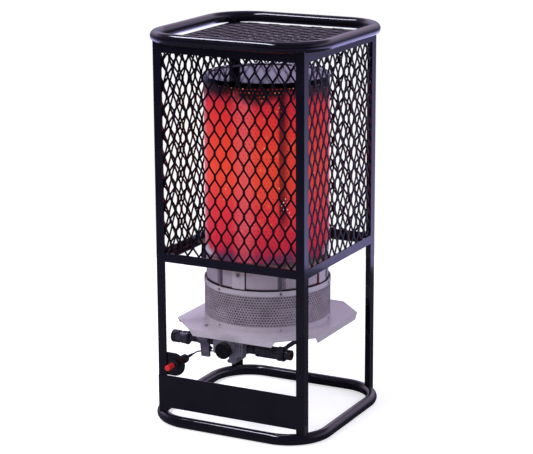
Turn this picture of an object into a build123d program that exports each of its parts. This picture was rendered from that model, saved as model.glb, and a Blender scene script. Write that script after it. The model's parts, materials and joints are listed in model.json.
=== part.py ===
from build123d import *
import os
from math import cos, degrees, pi, radians, sin, tan

# Portable radiant gas heater: a square cage of angle iron between two tube rings, with a round burner inside.
# Millimetres. +Z is up, the origin is on the floor under the middle of the burner, and the controls face -Y.

# Cage
HEIGHT = 838.0              # floor to the top of the upper ring
TUBE_OD = 24.0              # ring tube
RING_HALF = 191.5           # middle of the cage to the centreline of a ring's side
RING_CORNER_R = 88.7        # centreline radius of a ring's corner
CAGE_HALF = 172.5           # middle of the cage to the outer faces of the posts
IRON_LEG = 19.05            # angle iron, leg
IRON_T = 3.2                # angle iron, thickness
IRON_ROOT_R = 2.4           # angle iron, fillet inside the corner
MID_RAIL_Z = 354.0          # underside of the rails that carry the guard and the burner

# Expanded metal of the guard
MESH_T = 2.0
MESH_GAP = 0.5              # between two panels at a corner of the cage
MESH_RIM = 4.0              # closed rim behind the rails
MESH_SHORT_WAY = 53.4
MESH_LONG_WAY = 101.2
MESH_BOND_W = 6.0           # metal between two gaps that lie side by side
MESH_BOND_L = 17.0
MESH_TIP_GAP = 5.0          # from a gap's tip to the bond over it
MESH_LEAST_GAP = 30.0       # a cut gap with less area than this stays closed
GRILLE_LAP = 7.0            # top grille on the flanges of the top rails
GRILLE_CORNER = 14.0

# Lower front plate and igniter plate
FRONT_PLATE_Z = 32.7
FRONT_PLATE_H = 72.4
FRONT_PLATE_T = 1.5
FRONT_PLATE_R = 3.0
IGNITER_PLATE_R = 25.3
IGNITER_PLATE_T = 2.0
IGNITER_PLATE_LAP = 12.0    # behind the front leg of the post
IGNITER_X = -136.0
IGNITER_Z = 130.0

# Base plate under the burner
PLATE_TOP_Z = 212.5
PLATE_T = 1.2
PLATE_HALF = 165.0          # middle to the flanged sides
PLATE_SIDE = 205.0          # length of a flanged side
PLATE_FLANGE = 14.0
PLATE_FLANGE_BEVEL = 10.0
STIFFENER_X = 130.0
STIFFENER_H = 10.5
STIFFENER_FOOT = 12.0
STIFFENER_T = 2.0
STIFFENER_END_GAP = 0.5

# Burner drum and the air ring round its foot
DRUM_R = 130.4
DRUM_T = 1.0
DRUM_BOTTOM_Z = 262.0
DRUM_TOP_Z = 368.0
DRUM_SEAM_DEG = -8.5
DRUM_SEAM_W = 7.0
DRUM_FLOOR_T = 1.2
DRUM_FLOOR_HOLES = 12
DRUM_FLOOR_HOLE_R = 11.0
DRUM_FLOOR_HOLE_PITCH_R = 98.0
DRUM_VENT_R = 1.4
DRUM_VENTS = ((-46.5, 323.0), (-48.0, 316.0))   # degrees round the drum, height
AIR_RING_R = 134.8          # outside of the screen
AIR_SCREEN_T = 0.8
AIR_BAND_T = 0.8
AIR_RING_TOP_Z = 302.0
AIR_TOP_BAND_H = 10.2
AIR_FOOT_H = 12.0
AIR_FOOT_FLANGE = 7.5
STANDOFFS = 6
STANDOFF_FIRST_DEG = -111.0
STANDOFF_W = 6.0
STANDOFF_T = 1.0
STANDOFF_H = 58.0
STANDOFF_FOOT_H = 10.0

# Straps that hang the burner in the cage
STRAPS = 4
STRAP_FIRST_DEG = -90.5
STRAP_W = 29.0
STRAP_T = 1.2
STRAP_BOTTOM_Z = 304.0
STRAP_LUG_END = 163.0       # middle of the cage to the end of the lug
STRAP_SCREW_Z = 334.0
GUSSET_W_TOP = 16.0
GUSSET_W_BOTTOM = 24.0
GUSSET_H = 36.0

# Emitter
EMITTER_BOTTOM_Z = 362.0
EMITTER_TOP_Z = 738.0
EMITTER_T = 1.2
EMITTER_GAP = 0.2           # over the rim of the drum
CAP_T = 1.0
CAP_RIM_H = 10.0
CAP_RIM_T = 0.8
CAP_GAP = 0.1
CAP_RECESS = 2.0            # shallow dish pressed in the top
CAP_RECESS_R = 118.0
CONE_BOTTOM_Z = 400.0
CONE_BOTTOM_R = 12.0
CONE_TOP_R = 122.0
CONE_T = 1.0

# Burner tube and head
BURNER_TUBE_R = 18.0
BURNER_TUBE_T = 2.0
BURNER_MOUTH_R = 25.0
BURNER_MOUTH_Z = 178.0
BURNER_THROAT_Z = 198.0
HEAD_R = 46.0
HEAD_BOTTOM_Z = 292.0
HEAD_H = 30.0
HEAD_NECK_R = 24.0
HEAD_CONE_H = 12.0
HEAD_WALL = 4.0
HEAD_PORTS = 20
HEAD_PORT_W = 3.0
HEAD_PORT_H = 12.0

# Gas line along the front, parallel to X
LINE_Y = -143.0
VALVE_X = -10.0
VALVE_Z = 183.0
LEFT_LINE_Z = 185.0
RIGHT_LINE_Z = 181.0
VALVE_FRONT_Y = -163.0
VALVE_BACK_Y = -121.0
VALVE_LEFT_X = -45.0
VALVE_RIGHT_X = 25.0
VALVE_BODY_H = 31.0
VALVE_EDGE_R = 4.0
VALVE_RIBS = 3
VALVE_RIB_W = 2.8
VALVE_RIB_H = 2.0
LOBE_R = 9.5
LOBE_DROP = 24.0            # from the stem's axis to the lobe's axis
LOBE_X = 12.0               # from the stem's axis to the lobe's axis
LEFT_PORT_R = 9.0
RIGHT_PORT_R = 11.5
PORT_L = 3.0
STEM_R = 4.0
STEM_FIT = 0.3              # round the stem and the plunger
STEM_BACK_Y = -146.0
PLUNGER_R = 3.0
PLUNGER_L = 12.0
PUSH_TRAVEL = 5.0
PUSH_SPARE = 2.0
BONNET_R = 13.0
BONNET_L = 9.0
BONNET_SIDES = 6
KNOB_R = 17.5
KNOB_T = 11.5
KNOB_EDGE_R = 2.6
KNOB_GAP = 0.5              # to the bonnet with the knob pressed
KNOB_SOCKET = 6.5
KNOB_FLUTES = 28
KNOB_FLUTE_R = 0.9
PIPE_R = 6.7
PIPE_LEFT_X = -141.0
NUT_LEFT_X = -152.0
NUT_RIGHT_X = -112.0
NUT_R = 13.5
NUT_KNURL_L = 16.8
NUT_WAIST_R = 12.0
NUT_WAIST_L = 3.0
NUT_BEAD_R = 14.5
NUT_BEAD_L = 6.0
NUT_BEVEL = 1.0
NUT_SLOPE = 2.0             # from the knurl and the barrel down to the waist
NUT_FIT = 0.3
NUT_FLUTES = 20
NUT_FLUTE_R = 1.1
BRACKET_X = -80.5
BRACKET_W = 21.5
BRACKET_T = 1.5
BRACKET_BOTTOM_Z = 152.0
BRACKET_FOOT_Y = -118.0
BRACKET_SCREW_Y = -127.6
BRACKET_HOLE_R = 2.1
SWITCH_W = 16.0
SWITCH_D = 10.0
SWITCH_H = 12.0
SWITCH_Z = 168.0
SWITCH_EDGE_R = 1.5
BLADE_OUT = 5.0             # terminal blade beyond the switch
BLADE_IN = 4.0
BLADE_H = 5.0
BLADE_T = 1.0

# Gas inlet with its sliding sleeve
INLET_NECK_R = 9.8
INLET_NECK_END_X = 44.0
INLET_CORE_R = 8.0
SLEEVE_LEFT_X = 48.0
SLEEVE_RIGHT_X = 115.0
SLEEVE_R = 13.2
SLEEVE_FIT = 0.3
SLEEVE_BEVEL = 1.5
SLEEVE_GROOVE_X = 9.0       # from the left end of the sleeve
SLEEVE_GROOVE_W = 2.0
SLEEVE_GROOVE_D = 0.8
COLLAR_L = 16.0
COLLAR_R = 15.2
COLLAR_BEVEL = 2.0
COLLAR_SLOPE = 1.0          # half the length of the step up to the collar
INLET_HEAD_R = 10.7
INLET_HEAD_L = 12.0
INLET_HEAD_GAP = 1.5
INSERT_R = 7.6
INLET_BORE_R = 4.5
INLET_BORE_L = 20.0
INLET_RIM = 0.8

# Igniter
IGNITER_THREAD_R = 8.0
IGNITER_THREAD_L = 9.0      # in front of the plate
IGNITER_BODY_R = 9.5
IGNITER_BODY_L = 45.0
IGNITER_NUT_AF = 22.0
IGNITER_NUT_L = 5.0
BUTTON_R = 6.2
BUTTON_OUT = 22.0           # beyond the thread
BUTTON_IN = 15.0
BUTTON_TRAVEL = 6.0
BUTTON_FIT = 0.3
BUTTON_TIP_R = 2.4
BOOT_L = 36.0
BOOT_R = 6.5
BOOT_WAIST_R = 4.0
BOOT_TIP_R = 3.0
LEAD_R = 1.6

# Pilot group beside the burner head
PILOT_X = -60.0
PILOT_Y = -34.0
PILOT_TOP_Z = 312.0
PILOT_HOOD_R = 5.0
PILOT_HOOD_L = 15.0
PILOT_CUP_R = 4.0           # open cup in the top of the hood
PILOT_CUP_L = 5.0
PILOT_SEAT = 1.0            # the hood's round side let into the strap
PILOT_STRAP_T = 1.5
PILOT_STRAP_W = 14.0
ELECTRODE_R = 3.5
ELECTRODE_Z = 296.0
ELECTRODE_L = 24.0
ELECTRODE_WIRE_R = 1.0
ELECTRODE_WIRE_L = 16.0
PROBE_X = -47.0
PROBE_Y = -52.0
PROBE_R = 2.6
PROBE_TOP_Z = 322.0
PROBE_LEAD_R = 1.5
GROMMET_GAP = 1.0

# Screws and rivets
SCREW_HEAD_R = 4.2
SCREW_HEAD_H = 2.4
RIVET_R = 2.6
RIVET_H = 1.2
SPUD_AF = 14.0
SPUD_HEX_L = 14.0
SPUD_NOSE_R = 3.5
SPUD_BOTTOM_Z = 160.0
SPUD_TOP_Z = 184.0
SUPPLY_R = 4.8
SUPPLY_PORT_Z = 172.0
SUPPLY_PORT_RUN = 36.0      # level run behind the valve
SUPPLY_LOW_Z = 138.0
SUPPLY_LOW_RUN = 34.0       # level run under the spud

# Worked out from the sizes above
TUBE_R = TUBE_OD / 2
RING_TOP_Z = HEIGHT - TUBE_R
TOP_RAIL_Z = HEIGHT - TUBE_OD
RAIL_HALF = CAGE_HALF - IRON_LEG
INSIDE_HALF = CAGE_HALF - IRON_T
PLATE_LOW_Z = PLATE_TOP_Z - PLATE_T
EMITTER_R_IN = DRUM_R + EMITTER_GAP
EMITTER_R = EMITTER_R_IN + EMITTER_T
AIR_SCREEN_R_IN = AIR_RING_R - AIR_SCREEN_T
LUG_Z = MID_RAIL_Z + IRON_T
BURNER_TUBE_R_IN = BURNER_TUBE_R - BURNER_TUBE_T
KNOB_BACK_Y = VALVE_FRONT_Y - BONNET_L - PUSH_TRAVEL - KNOB_GAP
IGNITER_PLATE_FRONT_Y = -INSIDE_HALF
IGNITER_PLATE_BACK_Y = -INSIDE_HALF + IGNITER_PLATE_T
IGNITER_THREAD_Y = IGNITER_PLATE_FRONT_Y - IGNITER_THREAD_L
IGNITER_BACK_Y = IGNITER_PLATE_BACK_Y + IGNITER_BODY_L
BOOT_END_Y = IGNITER_BACK_Y + BOOT_L
INLET_HEAD_X = SLEEVE_RIGHT_X + INLET_HEAD_GAP
INLET_END_X = INLET_HEAD_X + INLET_HEAD_L
PIPE_RIGHT_X = VALVE_LEFT_X - PORT_L
BRACKET_BACK_Y = LINE_Y - PIPE_R

CUT = 1.0                   # how far a cutting shape runs past the face that it opens
ON_END = (Align.CENTER, Align.CENTER, Align.MIN)
PARTS = {}


def keep(name, shape):
    """Write one sub-part, as one solid or as a group of separate solids."""
    PARTS[name] = shape


def solid_of(shape):
    """The bare solids of a result, so that every node is written the same way."""
    found = shape.solids()
    return found[0] if len(found) == 1 else Compound(children=list(found))


def revolved(points, arc=360.0):
    """Turn a closed outline of (radius, height) points round Z."""
    outline = [(r, 0, z) for r, z in points]
    return revolve(make_face(Polyline(*outline, close=True)), Axis.Z, arc)


def band(r_in, r_out, z_low, z_high, middle_deg=None, arc_deg=360.0):
    """A ring, or a piece of one centred on an angle, from plain radii and heights."""
    ring = revolved([(r_in, z_low), (r_out, z_low), (r_out, z_high), (r_in, z_high)], arc=arc_deg)
    if middle_deg is None:
        return ring
    return Rot(0, 0, middle_deg - arc_deg / 2) * ring


def along_x(radius, x0, x1, y, z):
    """A round bar parallel to X."""
    return Plane((x0, y, z), z_dir=(1, 0, 0)) * Cylinder(radius, x1 - x0, align=ON_END)


def along_y(radius, y0, y1, x, z):
    """A round bar parallel to Y."""
    return Plane((x, y0, z), z_dir=(0, 1, 0)) * Cylinder(radius, y1 - y0, align=ON_END)


def upright(radius, z0, z1, x=0.0, y=0.0):
    """A round bar parallel to Z."""
    return Pos(x, y, z0) * Cylinder(radius, z1 - z0, align=ON_END)


def block(x0, x1, y0, y1, z0, z1):
    """A block between six faces."""
    return Pos(x0, y0, z0) * Box(x1 - x0, y1 - y0, z1 - z0, align=Align.MIN)


def four_ways(shape):
    """The four quarter turns of a shape round Z."""
    return [Rot(0, 0, 90 * turn) * shape for turn in range(4)]


def arc_width(width, radius):
    """The angle that a width takes on a circle."""
    return degrees(width / radius)


def route_radii(points):
    """The largest smooth radius at each corner of a route of straight runs."""
    radii = []
    for before, corner, after in zip(points, points[1:], points[2:]):
        first = Vector(*corner) - Vector(*before)
        second = Vector(*after) - Vector(*corner)
        half_turn = radians(first.get_angle(second)) / 2
        radii.append(0.45 * min(first.length, second.length) / tan(half_turn))
    return radii


def bent_tube(name, points, radius):
    """A round lead or tube along straight runs joined by tangent arcs."""
    radii = route_radii(points)
    path = FilletPolyline(*points, radius=radii)
    section = Plane(origin=path @ 0, z_dir=path % 0) * Circle(radius)
    tube = sweep(section, path=path)
    expected = pi * radius * radius * path.length
    print(name, "radii", [round(r, 1) for r in radii], "volume ratio", round(tube.volume / expected, 4))
    return tube


def make_ring():
    """Square tube ring with round corners, centred on its own centreline height."""
    path = RectangleRounded(2 * RING_HALF, 2 * RING_HALF, RING_CORNER_R).wire()
    section = Plane(origin=path @ 0, z_dir=path % 0) * Circle(TUBE_R)
    return sweep(section, path=path)


def iron_profile():
    """Angle iron with its outer corner at the origin and its legs along X and Y."""
    corners = [(0, 0), (IRON_LEG, 0), (IRON_LEG, IRON_T), (IRON_T, IRON_T), (IRON_T, IRON_LEG), (0, IRON_LEG)]
    face = Sketch() + make_face(Polyline(*corners, close=True))
    root = face.vertices().sort_by_distance((IRON_T, IRON_T, 0))[0]
    return fillet(root, IRON_ROOT_R)


def gap_outline(x, y, long_way, short_way):
    """One gap of the expanded metal: a long hexagon whose upright sides are the bonds."""
    half_w = (short_way - MESH_BOND_W) / 2
    half_bond = MESH_BOND_L / 2
    tip = long_way / 2 - half_bond - MESH_TIP_GAP
    right = [(half_w, half_bond), (half_w, -half_bond)]
    left = [(-half_w, -half_bond), (-half_w, half_bond)]
    corners = [(0, tip)] + right + [(0, -tip)] + left
    return make_face(Polyline(*[(x + u, y + v) for u, v in corners], close=True))


def mesh_sheet(width, height, cut_corner=0.0):
    """A flat sheet of expanded metal in the XY plane, with its long way along Y."""
    window = Rectangle(width - 2 * MESH_RIM, height - 2 * MESH_RIM)
    sheet = Rectangle(width, height)
    if cut_corner:
        sheet = chamfer(sheet.vertices(), cut_corner)
        window = chamfer(window.vertices(), cut_corner)
    columns = int(width / MESH_SHORT_WAY / 2) + 1
    rows = int(height / MESH_LONG_WAY / 2) + 1
    gaps = []
    for shift in (0.0, 0.5):
        for column in range(-columns, columns + 1):
            for row in range(-rows, rows + 1):
                x = (column + shift) * MESH_SHORT_WAY
                y = (row + shift) * MESH_LONG_WAY
                if abs(x) < width / 2 + MESH_SHORT_WAY / 2 and abs(y) < height / 2 + MESH_LONG_WAY / 2:
                    part = window & gap_outline(x, y, MESH_LONG_WAY, MESH_SHORT_WAY)
                    gaps += [face for face in part.faces() if face.area > MESH_LEAST_GAP] if part else []
    print("gaps in a sheet", len(gaps))
    return extrude(sheet - gaps, MESH_T)


def make_cage():
    """Rings, posts, rails, guard panels and top grille."""
    ring = make_ring()
    bottom_ring = Pos(0, 0, TUBE_R) * ring
    top_ring = Pos(0, 0, RING_TOP_Z) * ring
    keep("bottom_ring", bottom_ring)
    keep("top_ring", top_ring)

    profile = iron_profile()
    post = Plane((-CAGE_HALF, -CAGE_HALF, TUBE_R), x_dir=(1, 0, 0), z_dir=(0, 0, 1)) * profile
    post = extrude(post, RING_TOP_Z - TUBE_R) - bottom_ring - top_ring
    corners = ("front_left", "front_right", "back_right", "back_left")
    for corner, shape in zip(corners, four_ways(post)):
        keep("post_" + corner, shape)

    mid_plane = Plane((-RAIL_HALF, -CAGE_HALF, MID_RAIL_Z), x_dir=(0, 1, 0), z_dir=(1, 0, 0))
    mid_rail = extrude(mid_plane * profile, 2 * RAIL_HALF)
    top_plane = Plane((RAIL_HALF, -CAGE_HALF, TOP_RAIL_Z), x_dir=(0, 1, 0), z_dir=(-1, 0, 0))
    top_rail = extrude(top_plane * profile, 2 * RAIL_HALF)
    sides = ("front", "right", "back", "left")
    for side, mid, top in zip(sides, four_ways(mid_rail), four_ways(top_rail)):
        keep("mid_rail_" + side, mid)
        keep("top_rail_" + side, top)

    low = MID_RAIL_Z + IRON_T + IRON_ROOT_R
    high = TOP_RAIL_Z - IRON_T - IRON_ROOT_R
    width = 2 * (INSIDE_HALF - MESH_T - MESH_GAP)
    panel_plane = Plane((0, -INSIDE_HALF + MESH_T, (low + high) / 2), x_dir=(1, 0, 0), z_dir=(0, -1, 0))
    panel = panel_plane * mesh_sheet(width, high - low)
    for side, shape in zip(sides, four_ways(panel)):
        keep("guard_mesh_" + side, shape)

    grille_width = 2 * (RAIL_HALF + GRILLE_LAP)
    grille = Rot(0, 0, 90) * mesh_sheet(grille_width, grille_width, GRILLE_CORNER)
    keep("top_grille", Pos(0, 0, TOP_RAIL_Z) * grille)


def make_front_plates():
    """Blank plate across the two front posts, and the small plate that holds the igniter."""
    outline = RectangleRounded(2 * CAGE_HALF, FRONT_PLATE_H, FRONT_PLATE_R)
    middle_z = FRONT_PLATE_Z + FRONT_PLATE_H / 2
    plane = Plane((0, -CAGE_HALF, middle_z), x_dir=(1, 0, 0), z_dir=(0, -1, 0))
    keep("front_plate", extrude(plane * outline, FRONT_PLATE_T))

    left = -RAIL_HALF - IGNITER_PLATE_LAP - IGNITER_X
    profile = Pos(left / 2, 0) * Rectangle(-left, 2 * IGNITER_PLATE_R)
    profile = profile + Circle(IGNITER_PLATE_R) - Circle(IGNITER_THREAD_R)
    plane = Plane((IGNITER_X, IGNITER_PLATE_BACK_Y, IGNITER_Z), x_dir=(1, 0, 0), z_dir=(0, -1, 0))
    keep("igniter_plate", extrude(plane * profile, IGNITER_PLATE_T))


def make_base_plate():
    """Eight-sided sheet plate with four flanges, and the two bars under it."""
    side = PLATE_SIDE / 2
    octagon = []
    for turn in range(4):
        angle = radians(90 * turn)
        for x, y in ((side, -PLATE_HALF), (PLATE_HALF, -side)):
            octagon.append((x * cos(angle) - y * sin(angle), x * sin(angle) + y * cos(angle)))
    plate = extrude(Plane((0, 0, PLATE_LOW_Z)) * make_face(Polyline(*octagon, close=True)), PLATE_T)
    low = PLATE_TOP_Z - PLATE_FLANGE
    low_side = side - PLATE_FLANGE_BEVEL
    flange_points = [(-side, PLATE_TOP_Z), (side, PLATE_TOP_Z), (low_side, low), (-low_side, low)]
    flange = make_face(Polyline(*[(x, -PLATE_HALF, z) for x, z in flange_points], close=True))
    for shape in four_ways(extrude(flange, PLATE_T, dir=(0, 1, 0))):
        plate = plate + shape
    plate = plate - upright(BURNER_TUBE_R, PLATE_LOW_Z - CUT, PLATE_TOP_Z + CUT)
    for x, y, radius in ((PILOT_X, PILOT_Y, LEAD_R), (PROBE_X, PROBE_Y, PROBE_LEAD_R)):
        plate = plate - upright(radius + GROMMET_GAP, PLATE_LOW_Z - CUT, PLATE_TOP_Z + CUT, x, y)
    keep("base_plate", plate)

    end = PLATE_HALF - PLATE_T - STIFFENER_END_GAP
    wall = block(STIFFENER_X - STIFFENER_T, STIFFENER_X, -end, end, PLATE_LOW_Z - STIFFENER_H, PLATE_LOW_Z)
    foot = block(STIFFENER_X - STIFFENER_FOOT, STIFFENER_X, -end, end, PLATE_LOW_Z - STIFFENER_T, PLATE_LOW_Z)
    bar = wall + foot
    keep("plate_stiffeners", Compound(children=[solid_of(bar), solid_of(Rot(0, 0, 180) * bar)]))


def make_air_ring():
    """Screen, top band and foot ring round the drum, with the standoffs and rivets."""
    outer = AIR_RING_R + AIR_BAND_T
    foot_low = PLATE_TOP_Z
    keep("intake_screen", band(AIR_SCREEN_R_IN, AIR_RING_R, PLATE_TOP_Z, AIR_RING_TOP_Z - AIR_BAND_T))
    top_low = AIR_RING_TOP_Z - AIR_TOP_BAND_H
    lip = AIR_RING_TOP_Z - AIR_BAND_T
    top_points = [(AIR_RING_R, top_low), (outer, top_low), (outer, AIR_RING_TOP_Z)]
    top_points += [(AIR_SCREEN_R_IN, AIR_RING_TOP_Z), (AIR_SCREEN_R_IN, lip), (AIR_RING_R, lip)]
    keep("intake_top_band", revolved(top_points))
    flange_r = AIR_RING_R + AIR_FOOT_FLANGE
    flange_top = foot_low + AIR_BAND_T
    foot_top = foot_low + AIR_FOOT_H
    foot_points = [(AIR_RING_R, foot_low), (flange_r, foot_low), (flange_r, flange_top)]
    foot_points += [(outer, flange_top), (outer, foot_top), (AIR_RING_R, foot_top)]
    keep("intake_foot_ring", revolved(foot_points))

    foot_z = lip - STANDOFF_FOOT_H
    strip = [(DRUM_R, foot_z), (AIR_SCREEN_R_IN, foot_z), (AIR_SCREEN_R_IN, lip), (DRUM_R + STANDOFF_T, lip)]
    strip += [(DRUM_R + STANDOFF_T, foot_z + STANDOFF_H), (DRUM_R, foot_z + STANDOFF_H)]
    arc = arc_width(STANDOFF_W, DRUM_R)
    angles = [STANDOFF_FIRST_DEG + 360 * n / STANDOFFS for n in range(STANDOFFS)]
    standoff = revolved(strip, arc=arc)
    keep("ring_standoffs", Compound(children=[solid_of(Rot(0, 0, a - arc / 2) * standoff) for a in angles]))

    rivets = []
    for angle in angles:
        for z in (top_low + AIR_TOP_BAND_H / 2, foot_low + AIR_FOOT_H / 2):
            rivets.append(Rot(0, 0, angle) * along_x(RIVET_R, outer, outer + RIVET_H, 0, z))
    keep("rivets", Compound(children=[solid_of(rivet) for rivet in rivets]))


def make_drum():
    """Open-seamed sheet drum with its floor."""
    seam_arc = arc_width(DRUM_SEAM_W, DRUM_R)
    drum = band(DRUM_R - DRUM_T, DRUM_R, DRUM_BOTTOM_Z, DRUM_TOP_Z, DRUM_SEAM_DEG + 180, 360 - seam_arc)
    for angle, z in DRUM_VENTS:
        drum = drum - Rot(0, 0, angle) * along_x(DRUM_VENT_R, DRUM_R - 2 * DRUM_T, DRUM_R + DRUM_T, 0, z)
    keep("burner_drum", drum)

    floor = band(BURNER_TUBE_R, DRUM_R - DRUM_T, DRUM_BOTTOM_Z, DRUM_BOTTOM_Z + DRUM_FLOOR_T)
    low = DRUM_BOTTOM_Z - CUT
    high = DRUM_BOTTOM_Z + DRUM_FLOOR_T + CUT
    for n in range(DRUM_FLOOR_HOLES):
        angle = radians(360 * n / DRUM_FLOOR_HOLES)
        x = DRUM_FLOOR_HOLE_PITCH_R * cos(angle)
        y = DRUM_FLOOR_HOLE_PITCH_R * sin(angle)
        floor = floor - upright(DRUM_FLOOR_HOLE_R, low, high, x, y)
    floor = floor - upright(LEAD_R + GROMMET_GAP, low, high, PILOT_X, PILOT_Y)
    floor = floor - upright(PROBE_R, low, high, PROBE_X, PROBE_Y)
    keep("drum_floor", floor)


def make_straps():
    """Straps on the drum with a lug to each mid rail, their gussets, and all the sheet screws."""
    strap_r = DRUM_R + STRAP_T
    arc = arc_width(STRAP_W, DRUM_R)
    lug_top = LUG_Z + STRAP_T
    wall = [(DRUM_R, STRAP_BOTTOM_Z), (strap_r, STRAP_BOTTOM_Z), (strap_r, lug_top), (DRUM_R, lug_top)]
    lug = block(DRUM_R - STRAP_T, STRAP_LUG_END, -STRAP_W / 2, STRAP_W / 2, LUG_Z, lug_top)
    lug = lug - upright(DRUM_R, LUG_Z - CUT, lug_top + CUT)
    strap = Rot(0, 0, -arc / 2) * revolved(wall, arc=arc) + lug
    angles = [STRAP_FIRST_DEG + 90 * n for n in range(STRAPS)]
    keep("burner_straps", Compound(children=[solid_of(Rot(0, 0, a) * strap) for a in angles]))

    half_top = GUSSET_W_TOP / 2
    half_low = GUSSET_W_BOTTOM / 2
    low = MID_RAIL_Z - GUSSET_H
    outline = [(RAIL_HALF, -half_top, MID_RAIL_Z), (RAIL_HALF, half_top, MID_RAIL_Z)]
    outline += [(RAIL_HALF, half_low, low), (RAIL_HALF, -half_low, low)]
    gusset = extrude(make_face(Polyline(*outline, close=True)), IRON_T, dir=(1, 0, 0))
    keep("hanger_gussets", Compound(children=[solid_of(shape) for shape in four_ways(gusset)]))

    screws = []
    lug_x = (RAIL_HALF + STRAP_LUG_END) / 2
    drum_screw = along_x(SCREW_HEAD_R, strap_r, strap_r + SCREW_HEAD_H, 0, STRAP_SCREW_Z)
    for angle in angles:
        screws.append(Rot(0, 0, angle) * drum_screw)
        screws.append(Rot(0, 0, angle) * upright(SCREW_HEAD_R, lug_top, lug_top + SCREW_HEAD_H, lug_x))
    screws.append(upright(SCREW_HEAD_R, PLATE_TOP_Z, PLATE_TOP_Z + SCREW_HEAD_H, BRACKET_X, BRACKET_SCREW_Y))
    keep("sheet_screws", Compound(children=[solid_of(screw) for screw in screws]))


def make_emitter():
    """Glowing cylinder, its cap, and the cone inside that spreads the hot gas."""
    keep("emitter_screen", band(EMITTER_R_IN, EMITTER_R, EMITTER_BOTTOM_Z, EMITTER_TOP_Z))
    rim_in = EMITTER_R + CAP_GAP
    rim_out = rim_in + CAP_RIM_T
    top = EMITTER_TOP_Z + CAP_T
    low = top - CAP_RIM_H
    dish = CAP_RECESS
    dish_z = EMITTER_TOP_Z - dish
    dish_edge = CAP_RECESS_R + dish
    cap = [(0, dish_z), (CAP_RECESS_R, dish_z), (dish_edge, EMITTER_TOP_Z), (rim_in, EMITTER_TOP_Z)]
    cap += [(rim_in, low), (rim_out, low), (rim_out, top), (dish_edge, top)]
    cap += [(CAP_RECESS_R, top - dish), (0, top - dish)]
    keep("emitter_top_cap", revolved(cap))

    cone_top = dish_z - CAP_T
    flange_low = EMITTER_TOP_Z - CAP_T
    cone = [(0, CONE_BOTTOM_Z), (CONE_BOTTOM_R, CONE_BOTTOM_Z), (CONE_TOP_R, cone_top - CONE_T)]
    cone += [(EMITTER_R_IN, flange_low), (EMITTER_R_IN, EMITTER_TOP_Z), (CONE_TOP_R - CONE_T, dish_z)]
    cone += [(CONE_TOP_R - 2 * CONE_T, cone_top), (CONE_BOTTOM_R - CONE_T, CONE_BOTTOM_Z + CONE_T)]
    cone += [(0, CONE_BOTTOM_Z + CONE_T)]
    keep("inner_cone", revolved(cone))


def make_burner():
    """Burner tube with a bell mouth, the head on top of it, and the gas spud under it."""
    mouth_in = BURNER_MOUTH_R - BURNER_TUBE_T
    top = HEAD_BOTTOM_Z
    outer_mouth = (BURNER_MOUTH_R, 0, BURNER_MOUTH_Z)
    outer_throat = (BURNER_TUBE_R, 0, BURNER_THROAT_Z)
    inner_throat = (BURNER_TUBE_R_IN, 0, BURNER_THROAT_Z)
    inner_mouth = (mouth_in, 0, BURNER_MOUTH_Z)
    outline = TangentArc(outer_throat, outer_mouth, tangent=(0, 0, -1))
    outline += Line(outer_mouth, inner_mouth)
    outline += TangentArc(inner_throat, inner_mouth, tangent=(0, 0, -1))
    outline += Line(inner_throat, (BURNER_TUBE_R_IN, 0, top))
    outline += Line((BURNER_TUBE_R_IN, 0, top), (BURNER_TUBE_R, 0, top))
    outline += Line((BURNER_TUBE_R, 0, top), outer_throat)
    keep("burner_tube", revolve(make_face(outline), Axis.Z))

    wall = HEAD_WALL
    head_top = HEAD_BOTTOM_Z + HEAD_H
    cone_z = HEAD_BOTTOM_Z + HEAD_CONE_H
    body = [(BURNER_TUBE_R_IN, HEAD_BOTTOM_Z), (HEAD_NECK_R, HEAD_BOTTOM_Z), (HEAD_R, cone_z)]
    body += [(HEAD_R, head_top - wall), (HEAD_R - wall, head_top), (0, head_top), (0, head_top - wall)]
    body += [(HEAD_R - wall, head_top - wall), (HEAD_R - wall, cone_z + wall / 2)]
    body += [(BURNER_TUBE_R_IN, HEAD_BOTTOM_Z + wall)]
    head = revolved(body)
    half = HEAD_PORT_W / 2
    port_top = head_top - wall
    port = block(HEAD_R - 2 * wall, HEAD_R + CUT, -half, half, port_top - HEAD_PORT_H, port_top)
    for n in range(HEAD_PORTS):
        head = head - Rot(0, 0, 360 * n / HEAD_PORTS) * port
    keep("burner_head", head)

    hexagon = RegularPolygon(SPUD_AF / 2, 6, major_radius=False)
    nose_z = SPUD_BOTTOM_Z + SPUD_HEX_L
    spud = extrude(Plane((0, 0, SPUD_BOTTOM_Z)) * hexagon, SPUD_HEX_L)
    spud = spud + Pos(0, 0, nose_z) * Cone(SPUD_AF / 2, SPUD_NOSE_R, SPUD_TOP_Z - nose_z, align=ON_END)
    keep("orifice_spud", spud)
    route = [(VALVE_X, VALVE_BACK_Y, SUPPLY_PORT_Z), (VALVE_X, VALVE_BACK_Y + SUPPLY_PORT_RUN, SUPPLY_PORT_Z)]
    route += [(0, -SUPPLY_LOW_RUN, SUPPLY_LOW_Z), (0, 0, SUPPLY_LOW_Z), (0, 0, SPUD_BOTTOM_Z)]
    keep("supply_tube", bent_tube("supply tube", route, SUPPLY_R))


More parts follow.
